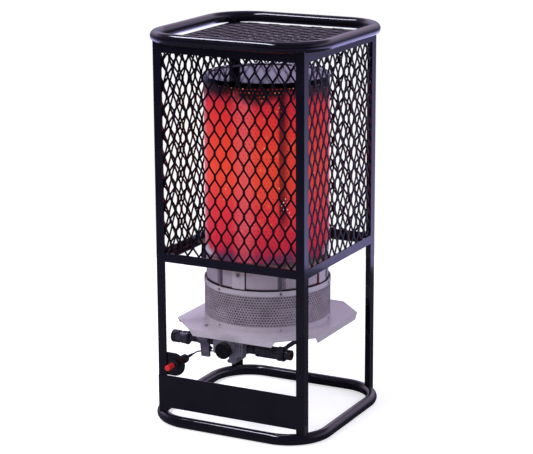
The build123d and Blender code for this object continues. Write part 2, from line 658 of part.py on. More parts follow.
def make_valve():
    """Cast valve body with its ports, and the bonnet, stem, plunger and knob on one axis."""
    low = VALVE_Z - VALVE_BODY_H / 2
    high = VALVE_Z + VALVE_BODY_H / 2
    body = block(VALVE_LEFT_X, VALVE_RIGHT_X, VALVE_FRONT_Y, VALVE_BACK_Y, low, high)
    body = fillet(body.edges().filter_by(Axis.Y), VALVE_EDGE_R)
    left_root = VALVE_LEFT_X + VALVE_EDGE_R
    right_root = VALVE_RIGHT_X - VALVE_EDGE_R
    body = body + along_x(LEFT_PORT_R, VALVE_LEFT_X - PORT_L, left_root, LINE_Y, LEFT_LINE_Z)
    body = body + along_x(RIGHT_PORT_R, right_root, VALVE_RIGHT_X + PORT_L, LINE_Y, RIGHT_LINE_Z)
    lobe_x = VALVE_X + LOBE_X
    lobe_z = VALVE_Z - LOBE_DROP
    lobe = along_y(LOBE_R, VALVE_FRONT_Y, VALVE_BACK_Y, lobe_x, lobe_z)
    web = block(lobe_x - LOBE_R, lobe_x + LOBE_R, VALVE_FRONT_Y, VALVE_BACK_Y, lobe_z, low + VALVE_EDGE_R)
    body = body + lobe + web
    boss_y = (LINE_Y + VALVE_BACK_Y) / 2
    body = body + upright(RIGHT_PORT_R, high - VALVE_EDGE_R, PLATE_LOW_Z, VALVE_X, boss_y)
    rib_y = VALVE_FRONT_Y - VALVE_RIB_H
    for step in range(VALVE_RIBS):
        x = VALVE_X + BONNET_R + (2 * step + 1) * VALVE_RIB_W
        rib = block(x, x + VALVE_RIB_W, rib_y, VALVE_FRONT_Y, low + VALVE_EDGE_R, high - VALVE_EDGE_R)
        body = body + rib
    bore_end = STEM_BACK_Y + PLUNGER_L + PUSH_TRAVEL + PUSH_SPARE
    stem_end = STEM_BACK_Y + PUSH_TRAVEL + STEM_FIT
    body = body - along_y(PLUNGER_R + STEM_FIT, STEM_BACK_Y, bore_end, VALVE_X, VALVE_Z)
    keep("valve_body", body - along_y(STEM_R + STEM_FIT, VALVE_FRONT_Y - CUT, stem_end, VALVE_X, VALVE_Z))

    plane = Plane((VALVE_X, VALVE_FRONT_Y, VALVE_Z), x_dir=(1, 0, 0), z_dir=(0, -1, 0))
    bonnet = extrude(plane * RegularPolygon(BONNET_R, BONNET_SIDES), BONNET_L)
    bonnet_y = VALVE_FRONT_Y - BONNET_L
    hole = along_y(STEM_R + STEM_FIT, bonnet_y - CUT, VALVE_FRONT_Y + CUT, VALVE_X, VALVE_Z)
    keep("valve_bonnet", bonnet - hole)

    socket_y = KNOB_BACK_Y - KNOB_SOCKET
    keep("valve_stem", along_y(STEM_R, socket_y, STEM_BACK_Y, VALVE_X, VALVE_Z))
    keep("valve_plunger", along_y(PLUNGER_R, STEM_BACK_Y, STEM_BACK_Y + PLUNGER_L, VALVE_X, VALVE_Z))
    knob = along_y(KNOB_R, KNOB_BACK_Y - KNOB_T, KNOB_BACK_Y, VALVE_X, VALVE_Z)
    knob = fillet(knob.edges().filter_by(GeomType.CIRCLE).sort_by(Axis.Y)[0], KNOB_EDGE_R)
    for n in range(KNOB_FLUTES):
        angle = 2 * pi * n / KNOB_FLUTES
        x = VALVE_X + KNOB_R * cos(angle)
        z = VALVE_Z + KNOB_R * sin(angle)
        knob = knob - along_y(KNOB_FLUTE_R, KNOB_BACK_Y - KNOB_T + KNOB_EDGE_R, KNOB_BACK_Y + CUT, x, z)
    keep("control_knob", knob - along_y(STEM_R, socket_y, KNOB_BACK_Y + CUT, VALVE_X, VALVE_Z))


def make_left_line():
    """Pipe left of the valve with its swivel nut, bracket and tilt switch."""
    keep("manifold_pipe", along_x(PIPE_R, PIPE_LEFT_X, PIPE_RIGHT_X, LINE_Y, LEFT_LINE_Z))

    length = NUT_RIGHT_X - NUT_LEFT_X
    waist = NUT_KNURL_L + NUT_SLOPE
    barrel = waist + NUT_WAIST_L + NUT_SLOPE
    bead = length - NUT_BEAD_L
    bore = PIPE_R + NUT_FIT
    bore_end = PIPE_LEFT_X - NUT_LEFT_X - NUT_FIT
    nut = [(0, 0), (NUT_R - NUT_BEVEL, 0), (NUT_R, NUT_BEVEL), (NUT_R, NUT_KNURL_L)]
    nut += [(NUT_WAIST_R, waist), (NUT_WAIST_R, waist + NUT_WAIST_L), (NUT_R, barrel)]
    nut += [(NUT_R, bead), (NUT_BEAD_R, bead + NUT_BEVEL), (NUT_BEAD_R, length - NUT_SLOPE)]
    nut += [(NUT_WAIST_R, length), (bore, length), (bore, bore_end), (0, bore_end)]
    shape = revolved(nut)
    for n in range(NUT_FLUTES):
        angle = 2 * pi * n / NUT_FLUTES
        shape = shape - upright(NUT_FLUTE_R, -CUT, NUT_KNURL_L, NUT_R * cos(angle), NUT_R * sin(angle))
    keep("swivel_nut", Plane((NUT_LEFT_X, LINE_Y, LEFT_LINE_Z), z_dir=(1, 0, 0)) * shape)

    x0 = BRACKET_X - BRACKET_W / 2
    x1 = BRACKET_X + BRACKET_W / 2
    front_y = BRACKET_BACK_Y - BRACKET_T
    wall = block(x0, x1, front_y, BRACKET_BACK_Y, BRACKET_BOTTOM_Z, PLATE_LOW_Z)
    foot = block(x0, x1, front_y, BRACKET_FOOT_Y, PLATE_LOW_Z - BRACKET_T, PLATE_LOW_Z)
    hole_low = PLATE_LOW_Z - BRACKET_T - CUT
    hole = upright(BRACKET_HOLE_R, hole_low, PLATE_LOW_Z + CUT, BRACKET_X, BRACKET_SCREW_Y)
    keep("pipe_bracket", wall + foot - hole)

    x_right = x1 + SWITCH_W / 2
    low = SWITCH_Z - SWITCH_H / 2
    back_y = BRACKET_BACK_Y + SWITCH_D
    switch = block(x_right - SWITCH_W, x_right, BRACKET_BACK_Y, back_y, low, low + SWITCH_H)
    switch = fillet(switch.edges().filter_by(Axis.Y), SWITCH_EDGE_R)
    blade_y = BRACKET_BACK_Y + SWITCH_D / 2
    blade_x = x_right + BLADE_OUT
    blade = block(x_right - BLADE_IN, blade_x, blade_y, blade_y + BLADE_T, SWITCH_Z, SWITCH_Z + BLADE_H)
    keep("tilt_switch", switch + blade)


def make_inlet():
    """Gas inlet right of the valve: black body with a brass insert, and the sleeve that slides on it."""
    start = VALVE_RIGHT_X + PORT_L
    body = along_x(INLET_NECK_R, start, INLET_NECK_END_X, LINE_Y, RIGHT_LINE_Z)
    body = body + along_x(INLET_CORE_R, INLET_NECK_END_X, INLET_HEAD_X, LINE_Y, RIGHT_LINE_Z)
    body = body + along_x(INLET_HEAD_R, INLET_HEAD_X, INLET_END_X, LINE_Y, RIGHT_LINE_Z)
    body = body - along_x(INSERT_R, INLET_HEAD_X, INLET_END_X + CUT, LINE_Y, RIGHT_LINE_Z)
    bore = along_x(INLET_BORE_R, INLET_END_X - INLET_BORE_L, INLET_END_X + CUT, LINE_Y, RIGHT_LINE_Z)
    keep("inlet_body", body - bore)
    insert = along_x(INSERT_R, INLET_HEAD_X, INLET_END_X - INLET_RIM, LINE_Y, RIGHT_LINE_Z)
    keep("inlet_insert", insert - bore)

    length = SLEEVE_RIGHT_X - SLEEVE_LEFT_X
    collar = length - COLLAR_L
    fit = INLET_CORE_R + SLEEVE_FIT
    groove = SLEEVE_GROOVE_X
    groove_end = groove + SLEEVE_GROOVE_W
    groove_r = SLEEVE_R - SLEEVE_GROOVE_D
    sleeve = [(fit, 0), (SLEEVE_R - SLEEVE_BEVEL, 0), (SLEEVE_R, SLEEVE_BEVEL)]
    sleeve += [(SLEEVE_R, groove - SLEEVE_GROOVE_D), (groove_r, groove)]
    sleeve += [(groove_r, groove_end), (SLEEVE_R, groove_end + SLEEVE_GROOVE_D)]
    sleeve += [(SLEEVE_R, collar - COLLAR_SLOPE), (COLLAR_R, collar + COLLAR_SLOPE)]
    sleeve += [(COLLAR_R, length - COLLAR_BEVEL), (COLLAR_R - COLLAR_BEVEL, length), (fit, length)]
    keep("coupler_sleeve", Plane((SLEEVE_LEFT_X, LINE_Y, RIGHT_LINE_Z), z_dir=(1, 0, 0)) * revolved(sleeve))


def make_igniter():
    """Push igniter on its plate, with the boot and the lead to the electrode."""
    x = IGNITER_X
    z = IGNITER_Z
    body = along_y(IGNITER_THREAD_R, IGNITER_THREAD_Y, IGNITER_PLATE_BACK_Y, x, z)
    body = body + along_y(IGNITER_BODY_R, IGNITER_PLATE_BACK_Y, IGNITER_BACK_Y, x, z)
    bore_end = IGNITER_THREAD_Y + BUTTON_IN + BUTTON_TRAVEL + PUSH_SPARE
    keep("igniter_body", body - along_y(BUTTON_R + BUTTON_FIT, IGNITER_THREAD_Y - CUT, bore_end, x, z))

    plane = Plane((x, IGNITER_PLATE_FRONT_Y, z), x_dir=(1, 0, 0), z_dir=(0, -1, 0))
    nut = extrude(plane * RegularPolygon(IGNITER_NUT_AF / 2, 6, major_radius=False), IGNITER_NUT_L)
    nut_y = IGNITER_PLATE_FRONT_Y - IGNITER_NUT_L
    keep("igniter_nut", nut - along_y(IGNITER_THREAD_R, nut_y - CUT, IGNITER_PLATE_BACK_Y, x, z))

    tip_y = IGNITER_THREAD_Y - BUTTON_OUT
    button = along_y(BUTTON_R, tip_y, IGNITER_THREAD_Y + BUTTON_IN, x, z)
    keep("igniter_button", fillet(button.edges().filter_by(GeomType.CIRCLE).sort_by(Axis.Y)[0], BUTTON_TIP_R))

    grip = BOOT_L / 3
    boot = [(0, 0), (BOOT_R, 0), (BOOT_R, grip), (BOOT_WAIST_R, 2 * grip), (BOOT_TIP_R, BOOT_L), (0, BOOT_L)]
    keep("igniter_boot", Plane((x, IGNITER_BACK_Y, z), z_dir=(0, 1, 0)) * revolved(boot))

    # The lead leaves the boot, sags a little, and rises through the base plate to the electrode.
    route = [(x, BOOT_END_Y, z), (x, -66, z), (-122, -49, 127), (-102, -39, 127), (-82, -35, 135)]
    route += [(-67, -33, 152), (-61, -33.5, 178), (PILOT_X - 0.3, PILOT_Y - 0.3, 224)]
    route += [(PILOT_X, PILOT_Y, 260), (PILOT_X, PILOT_Y, ELECTRODE_Z)]
    keep("igniter_lead", bent_tube("igniter lead", route, LEAD_R))


def make_pilot():
    """Pilot burner on its strap, the spark electrode and the thermocouple."""
    floor_z = DRUM_BOTTOM_Z + DRUM_FLOOR_T
    half = PILOT_STRAP_W / 2
    strap_y = PILOT_Y + ELECTRODE_R
    strap = block(PILOT_X - half, PILOT_X + half, strap_y, strap_y + PILOT_STRAP_T, floor_z, PILOT_TOP_Z)
    foot = block(PILOT_X - half, PILOT_X + half, strap_y, strap_y + half, floor_z, floor_z + PILOT_STRAP_T)
    hood_y = strap_y + PILOT_STRAP_T + PILOT_HOOD_R - PILOT_SEAT
    cup_z = PILOT_TOP_Z - PILOT_CUP_L
    hood = upright(PILOT_HOOD_R, PILOT_TOP_Z - PILOT_HOOD_L, PILOT_TOP_Z, PILOT_X, hood_y)
    hood = hood - upright(PILOT_CUP_R, cup_z, PILOT_TOP_Z + CUT, PILOT_X, hood_y)
    strap = strap - upright(PILOT_CUP_R, cup_z, PILOT_TOP_Z + CUT, PILOT_X, hood_y)
    keep("pilot_burner", strap + foot + hood)

    electrode_top = ELECTRODE_Z + ELECTRODE_L
    rod = upright(ELECTRODE_R, ELECTRODE_Z, electrode_top, PILOT_X, PILOT_Y)
    wire = upright(ELECTRODE_WIRE_R, electrode_top, electrode_top + ELECTRODE_WIRE_L, PILOT_X, PILOT_Y)
    keep("spark_electrode", rod + wire)

    probe = upright(PROBE_R, DRUM_BOTTOM_Z, PROBE_TOP_Z, PROBE_X, PROBE_Y)
    port_x = PROBE_X + 10
    route = [(PROBE_X, PROBE_Y, DRUM_BOTTOM_Z), (PROBE_X, PROBE_Y, 234), (PROBE_X + 0.3, PROBE_Y - 0.3, 203)]
    route += [(PROBE_X + 2, PROBE_Y - 12, 186), (PROBE_X + 6, PROBE_Y - 30, 180)]
    route += [(port_x, PROBE_Y - 47, VALVE_Z), (port_x, VALVE_BACK_Y, VALVE_Z)]
    keep("thermocouple", probe + bent_tube("thermocouple lead", route, PROBE_LEAD_R))


make_cage()
make_front_plates()
make_base_plate()
make_air_ring()
make_drum()
make_straps()
make_emitter()
make_burner()
make_valve()
make_left_line()
make_inlet()
make_igniter()
make_pilot()

os.makedirs("parts", exist_ok=True)
for part_name, part_shape in PARTS.items():
    export_step(solid_of(part_shape), os.path.join("parts", part_name + ".step"))
print(len(PARTS), "nodes written")
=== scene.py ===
"""Looks of the radiant gas heater: nets, perforated sheets, finishes and studio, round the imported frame."""

import json
from math import ceil, cos, pi, radians, sin, sqrt, tan

import bmesh
import bpy
from bpy.props import FloatProperty, FloatVectorProperty, PointerProperty
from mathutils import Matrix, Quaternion, Vector


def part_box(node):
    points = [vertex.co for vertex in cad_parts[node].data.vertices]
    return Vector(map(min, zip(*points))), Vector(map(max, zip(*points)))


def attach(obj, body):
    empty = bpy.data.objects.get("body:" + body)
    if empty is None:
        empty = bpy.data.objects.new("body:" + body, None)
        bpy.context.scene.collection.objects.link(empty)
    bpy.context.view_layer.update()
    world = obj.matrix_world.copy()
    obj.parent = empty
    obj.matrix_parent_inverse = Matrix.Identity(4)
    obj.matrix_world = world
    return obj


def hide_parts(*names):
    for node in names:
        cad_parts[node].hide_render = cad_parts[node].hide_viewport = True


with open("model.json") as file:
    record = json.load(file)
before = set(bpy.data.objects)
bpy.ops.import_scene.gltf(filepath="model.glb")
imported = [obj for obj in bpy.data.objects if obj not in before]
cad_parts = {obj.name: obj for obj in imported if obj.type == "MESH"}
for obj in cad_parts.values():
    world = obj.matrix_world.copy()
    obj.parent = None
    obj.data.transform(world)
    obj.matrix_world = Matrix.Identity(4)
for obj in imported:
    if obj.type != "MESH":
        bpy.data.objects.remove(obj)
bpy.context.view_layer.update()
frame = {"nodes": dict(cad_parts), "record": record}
nodes = frame["nodes"]

bl_info = {
    "name": "Radiant gas heater looks",
    "version": (1, 0, 0),
    "blender": (4, 5, 0),
    "location": "View3D > Sidebar > Heater",
    "description": "Nets, perforated sheets, finishes and studio of a radiant gas heater",
    "category": "Object",
}

MM = 0.001
SIDES = ("front", "right", "back", "left")

CAMERA_TARGET = Vector((-1.6 * MM, -0.83 * MM, 407.21 * MM))
CAMERA_LENS = 126.59
SENSOR_WIDTH = 36.0

# How strongly the world lights the object and shows in its gloss, and how much of the gloss is left in front.
WORLD_SOFT = 0.5
WORLD_GLOSS = 2.2
WORLD_FRONT = 0.12
FLOOR_LIFT = 0.6

# Name, place, width, depth, watts, colour, and whether gloss mirrors it.
LAMPS = (
    ("overhead", (-0.85, -0.65, 2.5), 1.5, 0.3, 30, "#ecebff", True),
    ("front_left", (-1.7, -2.4, 1.9), 1.2, 1.2, 34, "#fbf9ff", False),
    ("right", (2.4, 0.3, 1.5), 1.2, 1.2, 22, "#e4e2ff", False),
)
LAMP_TARGET = (0, 0, 0.42)

SHARP_EDGE = radians(40)
SMOOTH_UNDER = radians(35)
SMOOTH_WALL = radians(30)
MERGE_WITHIN = 0.1 * MM
GRILLE_CORNER = 14 * MM
HEATED_RIM = 30 * MM

# Turns about the burner's axis, in degrees from the right, and the heights of the painted shade on the drum.
# The drum's lap line and strips are painted shadows, the emitter's pink band is a painted reflection, and its
# facing turn places a painted pale outline.
DRUM_LAP_SHADOW = -83.5
DRUM_LAP_SHADOW_HALF = 0.7
DRUM_SHADOW_STRIPS = (-112.4, -49.6)
DRUM_SHADOW_STRIP_HALF = 4
DRUM_SHADE = (290 * MM, 310 * MM)
EMITTER_SEAM = ((-53, -51), (-48, -42))
EMITTER_PINK_REFLECTION = ((-97, -88), (-80, -72))
EMITTER_COOL = (-58, -30)
EMITTER_FACING = -62

# Sizes and places of the small pieces, in millimetres. A vertex is picked from NEAR in front of its plane.
NEAR = 0.1
PRESSED_EDGE = 0.3
GUSSET_EDGE = 0.4
GUSSET_TOP = 354.0
GUSSET_HALF = 8.0
GUSSET_INNER = 153.4
GUSSET_OUTER = 156.6
GUSSET_DEEP = 36.0
GUSSET_LOW = 5.0
ANGLE_LEG = 12
ANGLE_WALL = 2
ANGLE_BACK_END = 118
ANGLE_LEFT_FRONT = -112.0
CLIP_WALL = 1.5
CLIP_TAB = (-83.5, -61.8)
CLIP_TAB_TOP = 184
CLIP_TAB_TAPER = 3
CLIP_FLANGE = 6
CLIP_PLATE = (-91.3, -69.8)
CLIP_PLATE_BOTTOM = 188
BAND_RADIUS = 8.2
BAND_WIDTH = 22.4
BAND_PLACE = (-77.2, -143, 185)
BAND_BACK = -141
BAND_WALL = 1.2
NIPPLE = [(3.6, 0), (3.6, 5), (4.6, 5.2), (4.6, 8.4), (4.2, 9), (2.2, 9), (2.1, 7.5)]
NIPPLE_PLACE = (-9.0, -151, 153.6)
VALVE_SCREW = [(1.6, 0), (1.6, 3), (3.3, 3), (3.3, 4.2), (2.6, 5.2), (1.2, 5.6)]
VALVE_SCREW_PLACE = (5.0, -154, 167.6)
CLIP_SCREW = [(1.4, 0), (1.4, 1.5), (3.2, 1.5), (3.2, 2.6), (2.2, 3.4)]
CLIP_SCREW_PLACE = (-70.6, -149.7, 162.2)


def srgb(code):
    """A colour written as sRGB hex, as the linear values that a shader takes."""
    parts = [int(code[i:i + 2], 16) / 255 for i in (1, 3, 5)]
    return (*(c / 12.92 if c <= 0.04045 else ((c + 0.055) / 1.055) ** 2.4 for c in parts), 1.0)


class HeaterNet(bpy.types.PropertyGroup):
    """Sizes of the expanded metal of the guard and the grille."""

    short_way: FloatProperty(name="Short way", description="Pitch across the diamonds", default=26.7 * MM,
                             unit="LENGTH")
    long_way: FloatProperty(name="Long way", description="Pitch along the diamonds", default=50.6 * MM,
                            unit="LENGTH")
    strand: FloatProperty(name="Strand width", description="Width of a strand", default=3.2 * MM,
                          unit="LENGTH")
    bond_width: FloatProperty(name="Bond width", description="Width where two strands meet", default=6.2 * MM,
                              unit="LENGTH")
    bond_length: FloatProperty(name="Bond length", description="Length of a bond along the diamonds",
                               default=9.0 * MM, unit="LENGTH")
    sheet: FloatProperty(name="Sheet thickness", description="Thickness before expanding", default=1.5 * MM,
                         unit="LENGTH")
    tilt: FloatProperty(name="Strand rise", description="How far a strand's edge stands up from the sheet",
                        default=1.0 * MM, unit="LENGTH")
    edge: FloatProperty(name="Edge rounding", description="Rounding that the enamel gives each edge",
                        default=0.35 * MM, unit="LENGTH")


class HeaterScreens(bpy.types.PropertyGroup):
    """Sizes of the perforated walls."""

    # Both patterns are drawn coarser than the real ones, so that they show. The intake's real pitch is
    # about 4 mm, and the emitter's is finer than drawn too.
    intake_pitch: FloatProperty(name="Intake pitch", description="Distance between holes of the air intake",
                                default=6.2 * MM, unit="LENGTH")
    intake_hole: FloatProperty(name="Intake hole", description="Width of a hole of the air intake",
                               default=4.3 * MM, unit="LENGTH")
    emitter_pitch: FloatProperty(name="Emitter pitch", description="Distance between holes of the emitter",
                                 default=8.8 * MM, unit="LENGTH")
    emitter_hole: FloatProperty(name="Emitter hole", description="Width of a hole of the emitter",
                                default=2.6 * MM, unit="LENGTH")
    intake_sheet: FloatProperty(name="Intake sheet", description="Thickness of the intake's wall",
                                default=0.8 * MM, unit="LENGTH")
    emitter_sheet: FloatProperty(name="Emitter sheet", description="Thickness of the emitter's wall",
                                 default=1.2 * MM, unit="LENGTH")


class HeaterColours(bpy.types.PropertyGroup):
    """The main colours."""

    paint: FloatVectorProperty(name="Paint", description="Black powder coat of the cage",
                               default=srgb("#0a0911"), subtype="COLOR", size=4, min=0, max=1)
    zinc: FloatVectorProperty(name="Galvanised sheet", description="Base, drum and bands",
                              default=srgb("#dcd4dd"), subtype="COLOR", size=4, min=0, max=1)
    glow: FloatVectorProperty(name="Glow", description="The emitter where it is hottest",
                              default=srgb("#e9452b"), subtype="COLOR", size=4, min=0, max=1)
    button: FloatVectorProperty(name="Button", description="Igniter button",
                                default=srgb("#d2222c"), subtype="COLOR", size=4, min=0, max=1)


class HeaterStudio(bpy.types.PropertyGroup):
    """The camera and the floor."""

    azimuth: FloatProperty(name="Azimuth", description="Camera's turn from the front",
                           default=radians(27.356), subtype="ANGLE")
    elevation: FloatProperty(name="Elevation", description="Camera's height above the horizon",
                             default=radians(14.288), subtype="ANGLE")
    roll: FloatProperty(name="Roll", description="Camera's turn about its own axis", default=radians(-0.279),
                        subtype="ANGLE")
    distance: FloatProperty(name="Distance", description="From the camera to its target", default=3.9884,
                            unit="LENGTH")
    floor: FloatProperty(name="Floor radius", description="Radius of the round floor", default=1.3,
                         unit="LENGTH")


def add(tree, kind, inputs=None, stops=(), **settings):
    """Adds a shader node, sets it, and links each input that is given as a socket."""
    made = tree.nodes.new("ShaderNode" + kind)
    for name, value in settings.items():
        setattr(made, name, value)
    for name, value in (inputs or {}).items():
        if isinstance(value, bpy.types.NodeSocket):
            tree.links.new(value, made.inputs[name])
        else:
            made.inputs[name].default_value = value
    if stops:
        ramp = made.color_ramp.elements
        ramp.remove(ramp[1])
        ramp[0].position, ramp[0].color = stops[0]
        for place, colour in stops[1:]:
            ramp.new(place).color = colour
    return made


def level_of(value):
    """A plain value as a grey, for a ramp that works as a mask."""
    return value, value, value, 1


def band(tree, turn, rise, fall, peak=1.0):
    """A mask of the turn: it climbs between two angles in degrees, and falls between two more."""
    climb = add(tree, "MapRange", {"Value": turn, "From Min": radians(rise[0]), "From Max": radians(rise[1])})
    drop = add(tree, "MapRange", {"Value": turn, "From Min": radians(fall[0]), "From Max": radians(fall[1]),
                                  "To Min": peak, "To Max": 0.0})
    return add(tree, "Math", {0: climb.outputs[0], 1: drop.outputs[0]}, operation="MULTIPLY").outputs[0]


def new_finish(name, roughness, metallic=0.0, **sockets):
    """A new material, its tree, its shader and the object coordinates that its patterns read."""
    material = bpy.data.materials.new(name)
    material.use_nodes = True
    tree = material.node_tree
    shader = tree.nodes["Principled BSDF"]
    shader.inputs["Roughness"].default_value = roughness
    shader.inputs["Metallic"].default_value = metallic
    for socket, value in sockets.items():
        shader.inputs[socket.replace("_", " ")].default_value = value
    return material, tree, shader, add(tree, "TexCoord").outputs["Object"]


def mottle(tree, shader, place, size, dark, light, rough=None, bump=None):
    """Lets noise of a real size mix two colours on the shader, and vary its roughness and its surface."""
    noise = add(tree, "TexNoise", {"Vector": place, "Scale": 1 / size, "Detail": 5.0, "Roughness": 0.6})
    spread = add(tree, "MapRange", {"Value": noise.outputs[0], "From Min": 0.3, "From Max": 0.7})
    tone = add(tree, "Mix", {0: spread.outputs[0], 6: dark, 7: light}, data_type="RGBA")
    tree.links.new(tone.outputs[2], shader.inputs["Base Color"])
    if rough:
        gloss = add(tree, "MapRange", {"Value": noise.outputs[0], "From Min": 0.3, "From Max": 0.7,
                                       "To Min": rough[0], "To Max": rough[1]})
        tree.links.new(gloss.outputs[0], shader.inputs["Roughness"])
    if bump:
        grain = add(tree, "TexNoise", {"Vector": place, "Scale": 1 / bump[0], "Detail": 2.0})
        relief = add(tree, "Bump", {"Height": grain.outputs[0], "Strength": bump[2], "Distance": bump[1]})
        tree.links.new(relief.outputs[0], shader.inputs["Normal"])
    return tone


def mottled(finish, *pattern):
    """A new finish with that pattern and nothing more."""
    mottle(*finish[1:], *pattern)
    return finish[0]


def powder_coat(colours):
    """Gloss black powder coat on steel tube and angle: baked, so it has a fine orange peel and soft gloss."""
    return mottled(new_finish("powder_coat_black", 0.14, Coat_Weight=0.3, Coat_Roughness=0.05),
                   60 * MM, colours.paint, srgb("#12111b"), (0.1, 0.18), (1.6 * MM, 0.05 * MM, 0.25))


def dipped_enamel(colours):
    """Black enamel that the expanded metal was dipped in, so its surface is slightly wavy."""
    return mottled(new_finish("dipped_enamel_black", 0.16, Specular_IOR_Level=0.3),
                   14 * MM, srgb("#09090e"), srgb("#111019"), (0.12, 0.22), (3.0 * MM, 0.08 * MM, 0.3))


def galvanised(colours, name="galvanised_sheet", hot_from=None, hot_to=None):
    """Hot dipped galvanised sheet: zinc spangle a few millimetres across, with a soft rolled sheen."""
    material, tree, shader, place = new_finish(name, 0.4, 0.3)
    spangle = add(tree, "TexVoronoi", {"Vector": place, "Scale": 1 / (7 * MM), "Randomness": 1.0})
    grey = add(tree, "RGBToBW", {0: spangle.outputs["Color"]})
    cloud = add(tree, "TexNoise", {"Vector": place, "Scale": 1 / (45 * MM), "Detail": 4.0})
    soft = add(tree, "Mix", {0: 0.55, 2: grey.outputs[0], 3: cloud.outputs[0]}, data_type="FLOAT")
    dull = [c * 0.8 for c in colours.zinc[:3]] + [1.0]
    tone = add(tree, "Mix", {0: soft.outputs[0], 6: dull, 7: colours.zinc}, data_type="RGBA")
    colour = tone.outputs[2]
    if hot_from is not None:
        height = add(tree, "SeparateXYZ", {0: place})
        wavy = add(tree, "Math", {0: cloud.outputs[0], 1: 14 * MM}, operation="MULTIPLY")
        level = add(tree, "Math", {0: height.outputs["Z"], 1: wavy.outputs[0]}, operation="ADD")
        heat = add(tree, "MapRange", {"Value": level.outputs[0], "From Min": hot_from, "From Max": hot_to})
        tint = add(tree, "ValToRGB", {0: heat.outputs[0]}, [
            (0.0, (1, 1, 1, 1)), (0.45, srgb("#e8d9c8")), (0.75, srgb("#c9a782")), (1.0, srgb("#9a7a86"))])
        colour = add(tree, "Mix", {0: 1.0, 6: colour, 7: tint.outputs[0]}, data_type="RGBA",
                     blend_type="MULTIPLY").outputs[2]
    tree.links.new(colour, shader.inputs["Base Color"])
    gloss = add(tree, "MapRange", {"Value": soft.outputs[0], "To Min": 0.26, "To Max": 0.44})
    tree.links.new(gloss.outputs[0], shader.inputs["Roughness"])
    relief = add(tree, "Bump", {"Height": cloud.outputs[0], "Strength": 0.5, "Distance": 0.8 * MM})
    tree.links.new(relief.outputs[0], shader.inputs["Normal"])
    return material


def drum_sheet(colours, hot_from, hot_to):
    """Drum of galvanised sheet: straw at its hot rim, darker in the intake as dust and painted shade, with
    painted shadows at the lap and in strips.
    """
    material = galvanised(colours, "galvanised_drum", hot_from, hot_to)
    tree = material.node_tree
    base = tree.nodes["Principled BSDF"].inputs["Base Color"]
    clean = base.links[0].from_socket
    split = add(tree, "SeparateXYZ", {0: add(tree, "TexCoord").outputs["Object"]})
    # Painted shade: the foot inside the intake is drawn darker as dust and shade, and a painted shadow line
    # lies just above the intake's rim.
    rise = add(tree, "MapRange", {"Value": split.outputs["Z"], "From Min": DRUM_SHADE[0],
                                  "From Max": DRUM_SHADE[1]})
    dust_and_shade = add(tree, "ValToRGB", {0: rise.outputs[0]}, [
        (0.5, level_of(0.55)), (0.55, level_of(1)), (0.72, level_of(1)), (0.85, level_of(0))])
    angle = add(tree, "Math", {0: split.outputs["Y"], 1: split.outputs["X"]}, operation="ARCTAN2")
    # A dark line at the strap's lap: the joint is real, and it is drawn dark as a painted shadow line.
    lap_shadow = add(tree, "Math", {0: angle.outputs[0], 1: radians(DRUM_LAP_SHADOW), 2: radians(DRUM_LAP_SHADOW_HALF)},
              operation="COMPARE")
    dark = add(tree, "Math", {0: dust_and_shade.outputs[0], 1: lap_shadow.outputs[0]}, operation="MAXIMUM")
    # Painted shadows of the standoffs: two faint dark strips on the drum.
    for strip in DRUM_SHADOW_STRIPS:
        shadow = add(tree, "Math", {0: angle.outputs[0], 1: radians(strip), 2: radians(DRUM_SHADOW_STRIP_HALF)},
                     operation="COMPARE")
        faint = add(tree, "Math", {0: shadow.outputs[0], 1: 0.5}, operation="MULTIPLY")
        dark = add(tree, "Math", {0: dark.outputs[0], 1: faint.outputs[0]}, operation="MAXIMUM")
    warm = add(tree, "Mix", {0: 1.0, 6: clean, 7: srgb("#ebe1e8")}, data_type="RGBA", blend_type="MULTIPLY")
    # The drum's painted shade and painted shadows are all drawn in this dark colour.
    final = add(tree, "Mix", {0: dark.outputs[0], 6: warm.outputs[2], 7: srgb("#2c262c")}, data_type="RGBA")
    tree.links.new(final.outputs[2], base)
    return material


def strip_in_painted_shade(colours):
    """Galvanised strip with painted shade: its zinc is coloured slate grey, as if it stood in the drum's
    shadow.
    """
    return mottled(new_finish("galvanised_strip_painted_shade", 0.4, 0.6),
                   20 * MM, srgb("#6d6678"), srgb("#8b8394"), (0.34, 0.46))


def intake_sheet(colours):
    """Perforated galvanised strip of the air intake: punched, dull, with a warm cast."""
    return mottled(new_finish("perforated_zinc", 0.45, 0.6),
                   18 * MM, srgb("#c4b6c2"), srgb("#e8dde6"), (0.34, 0.5))


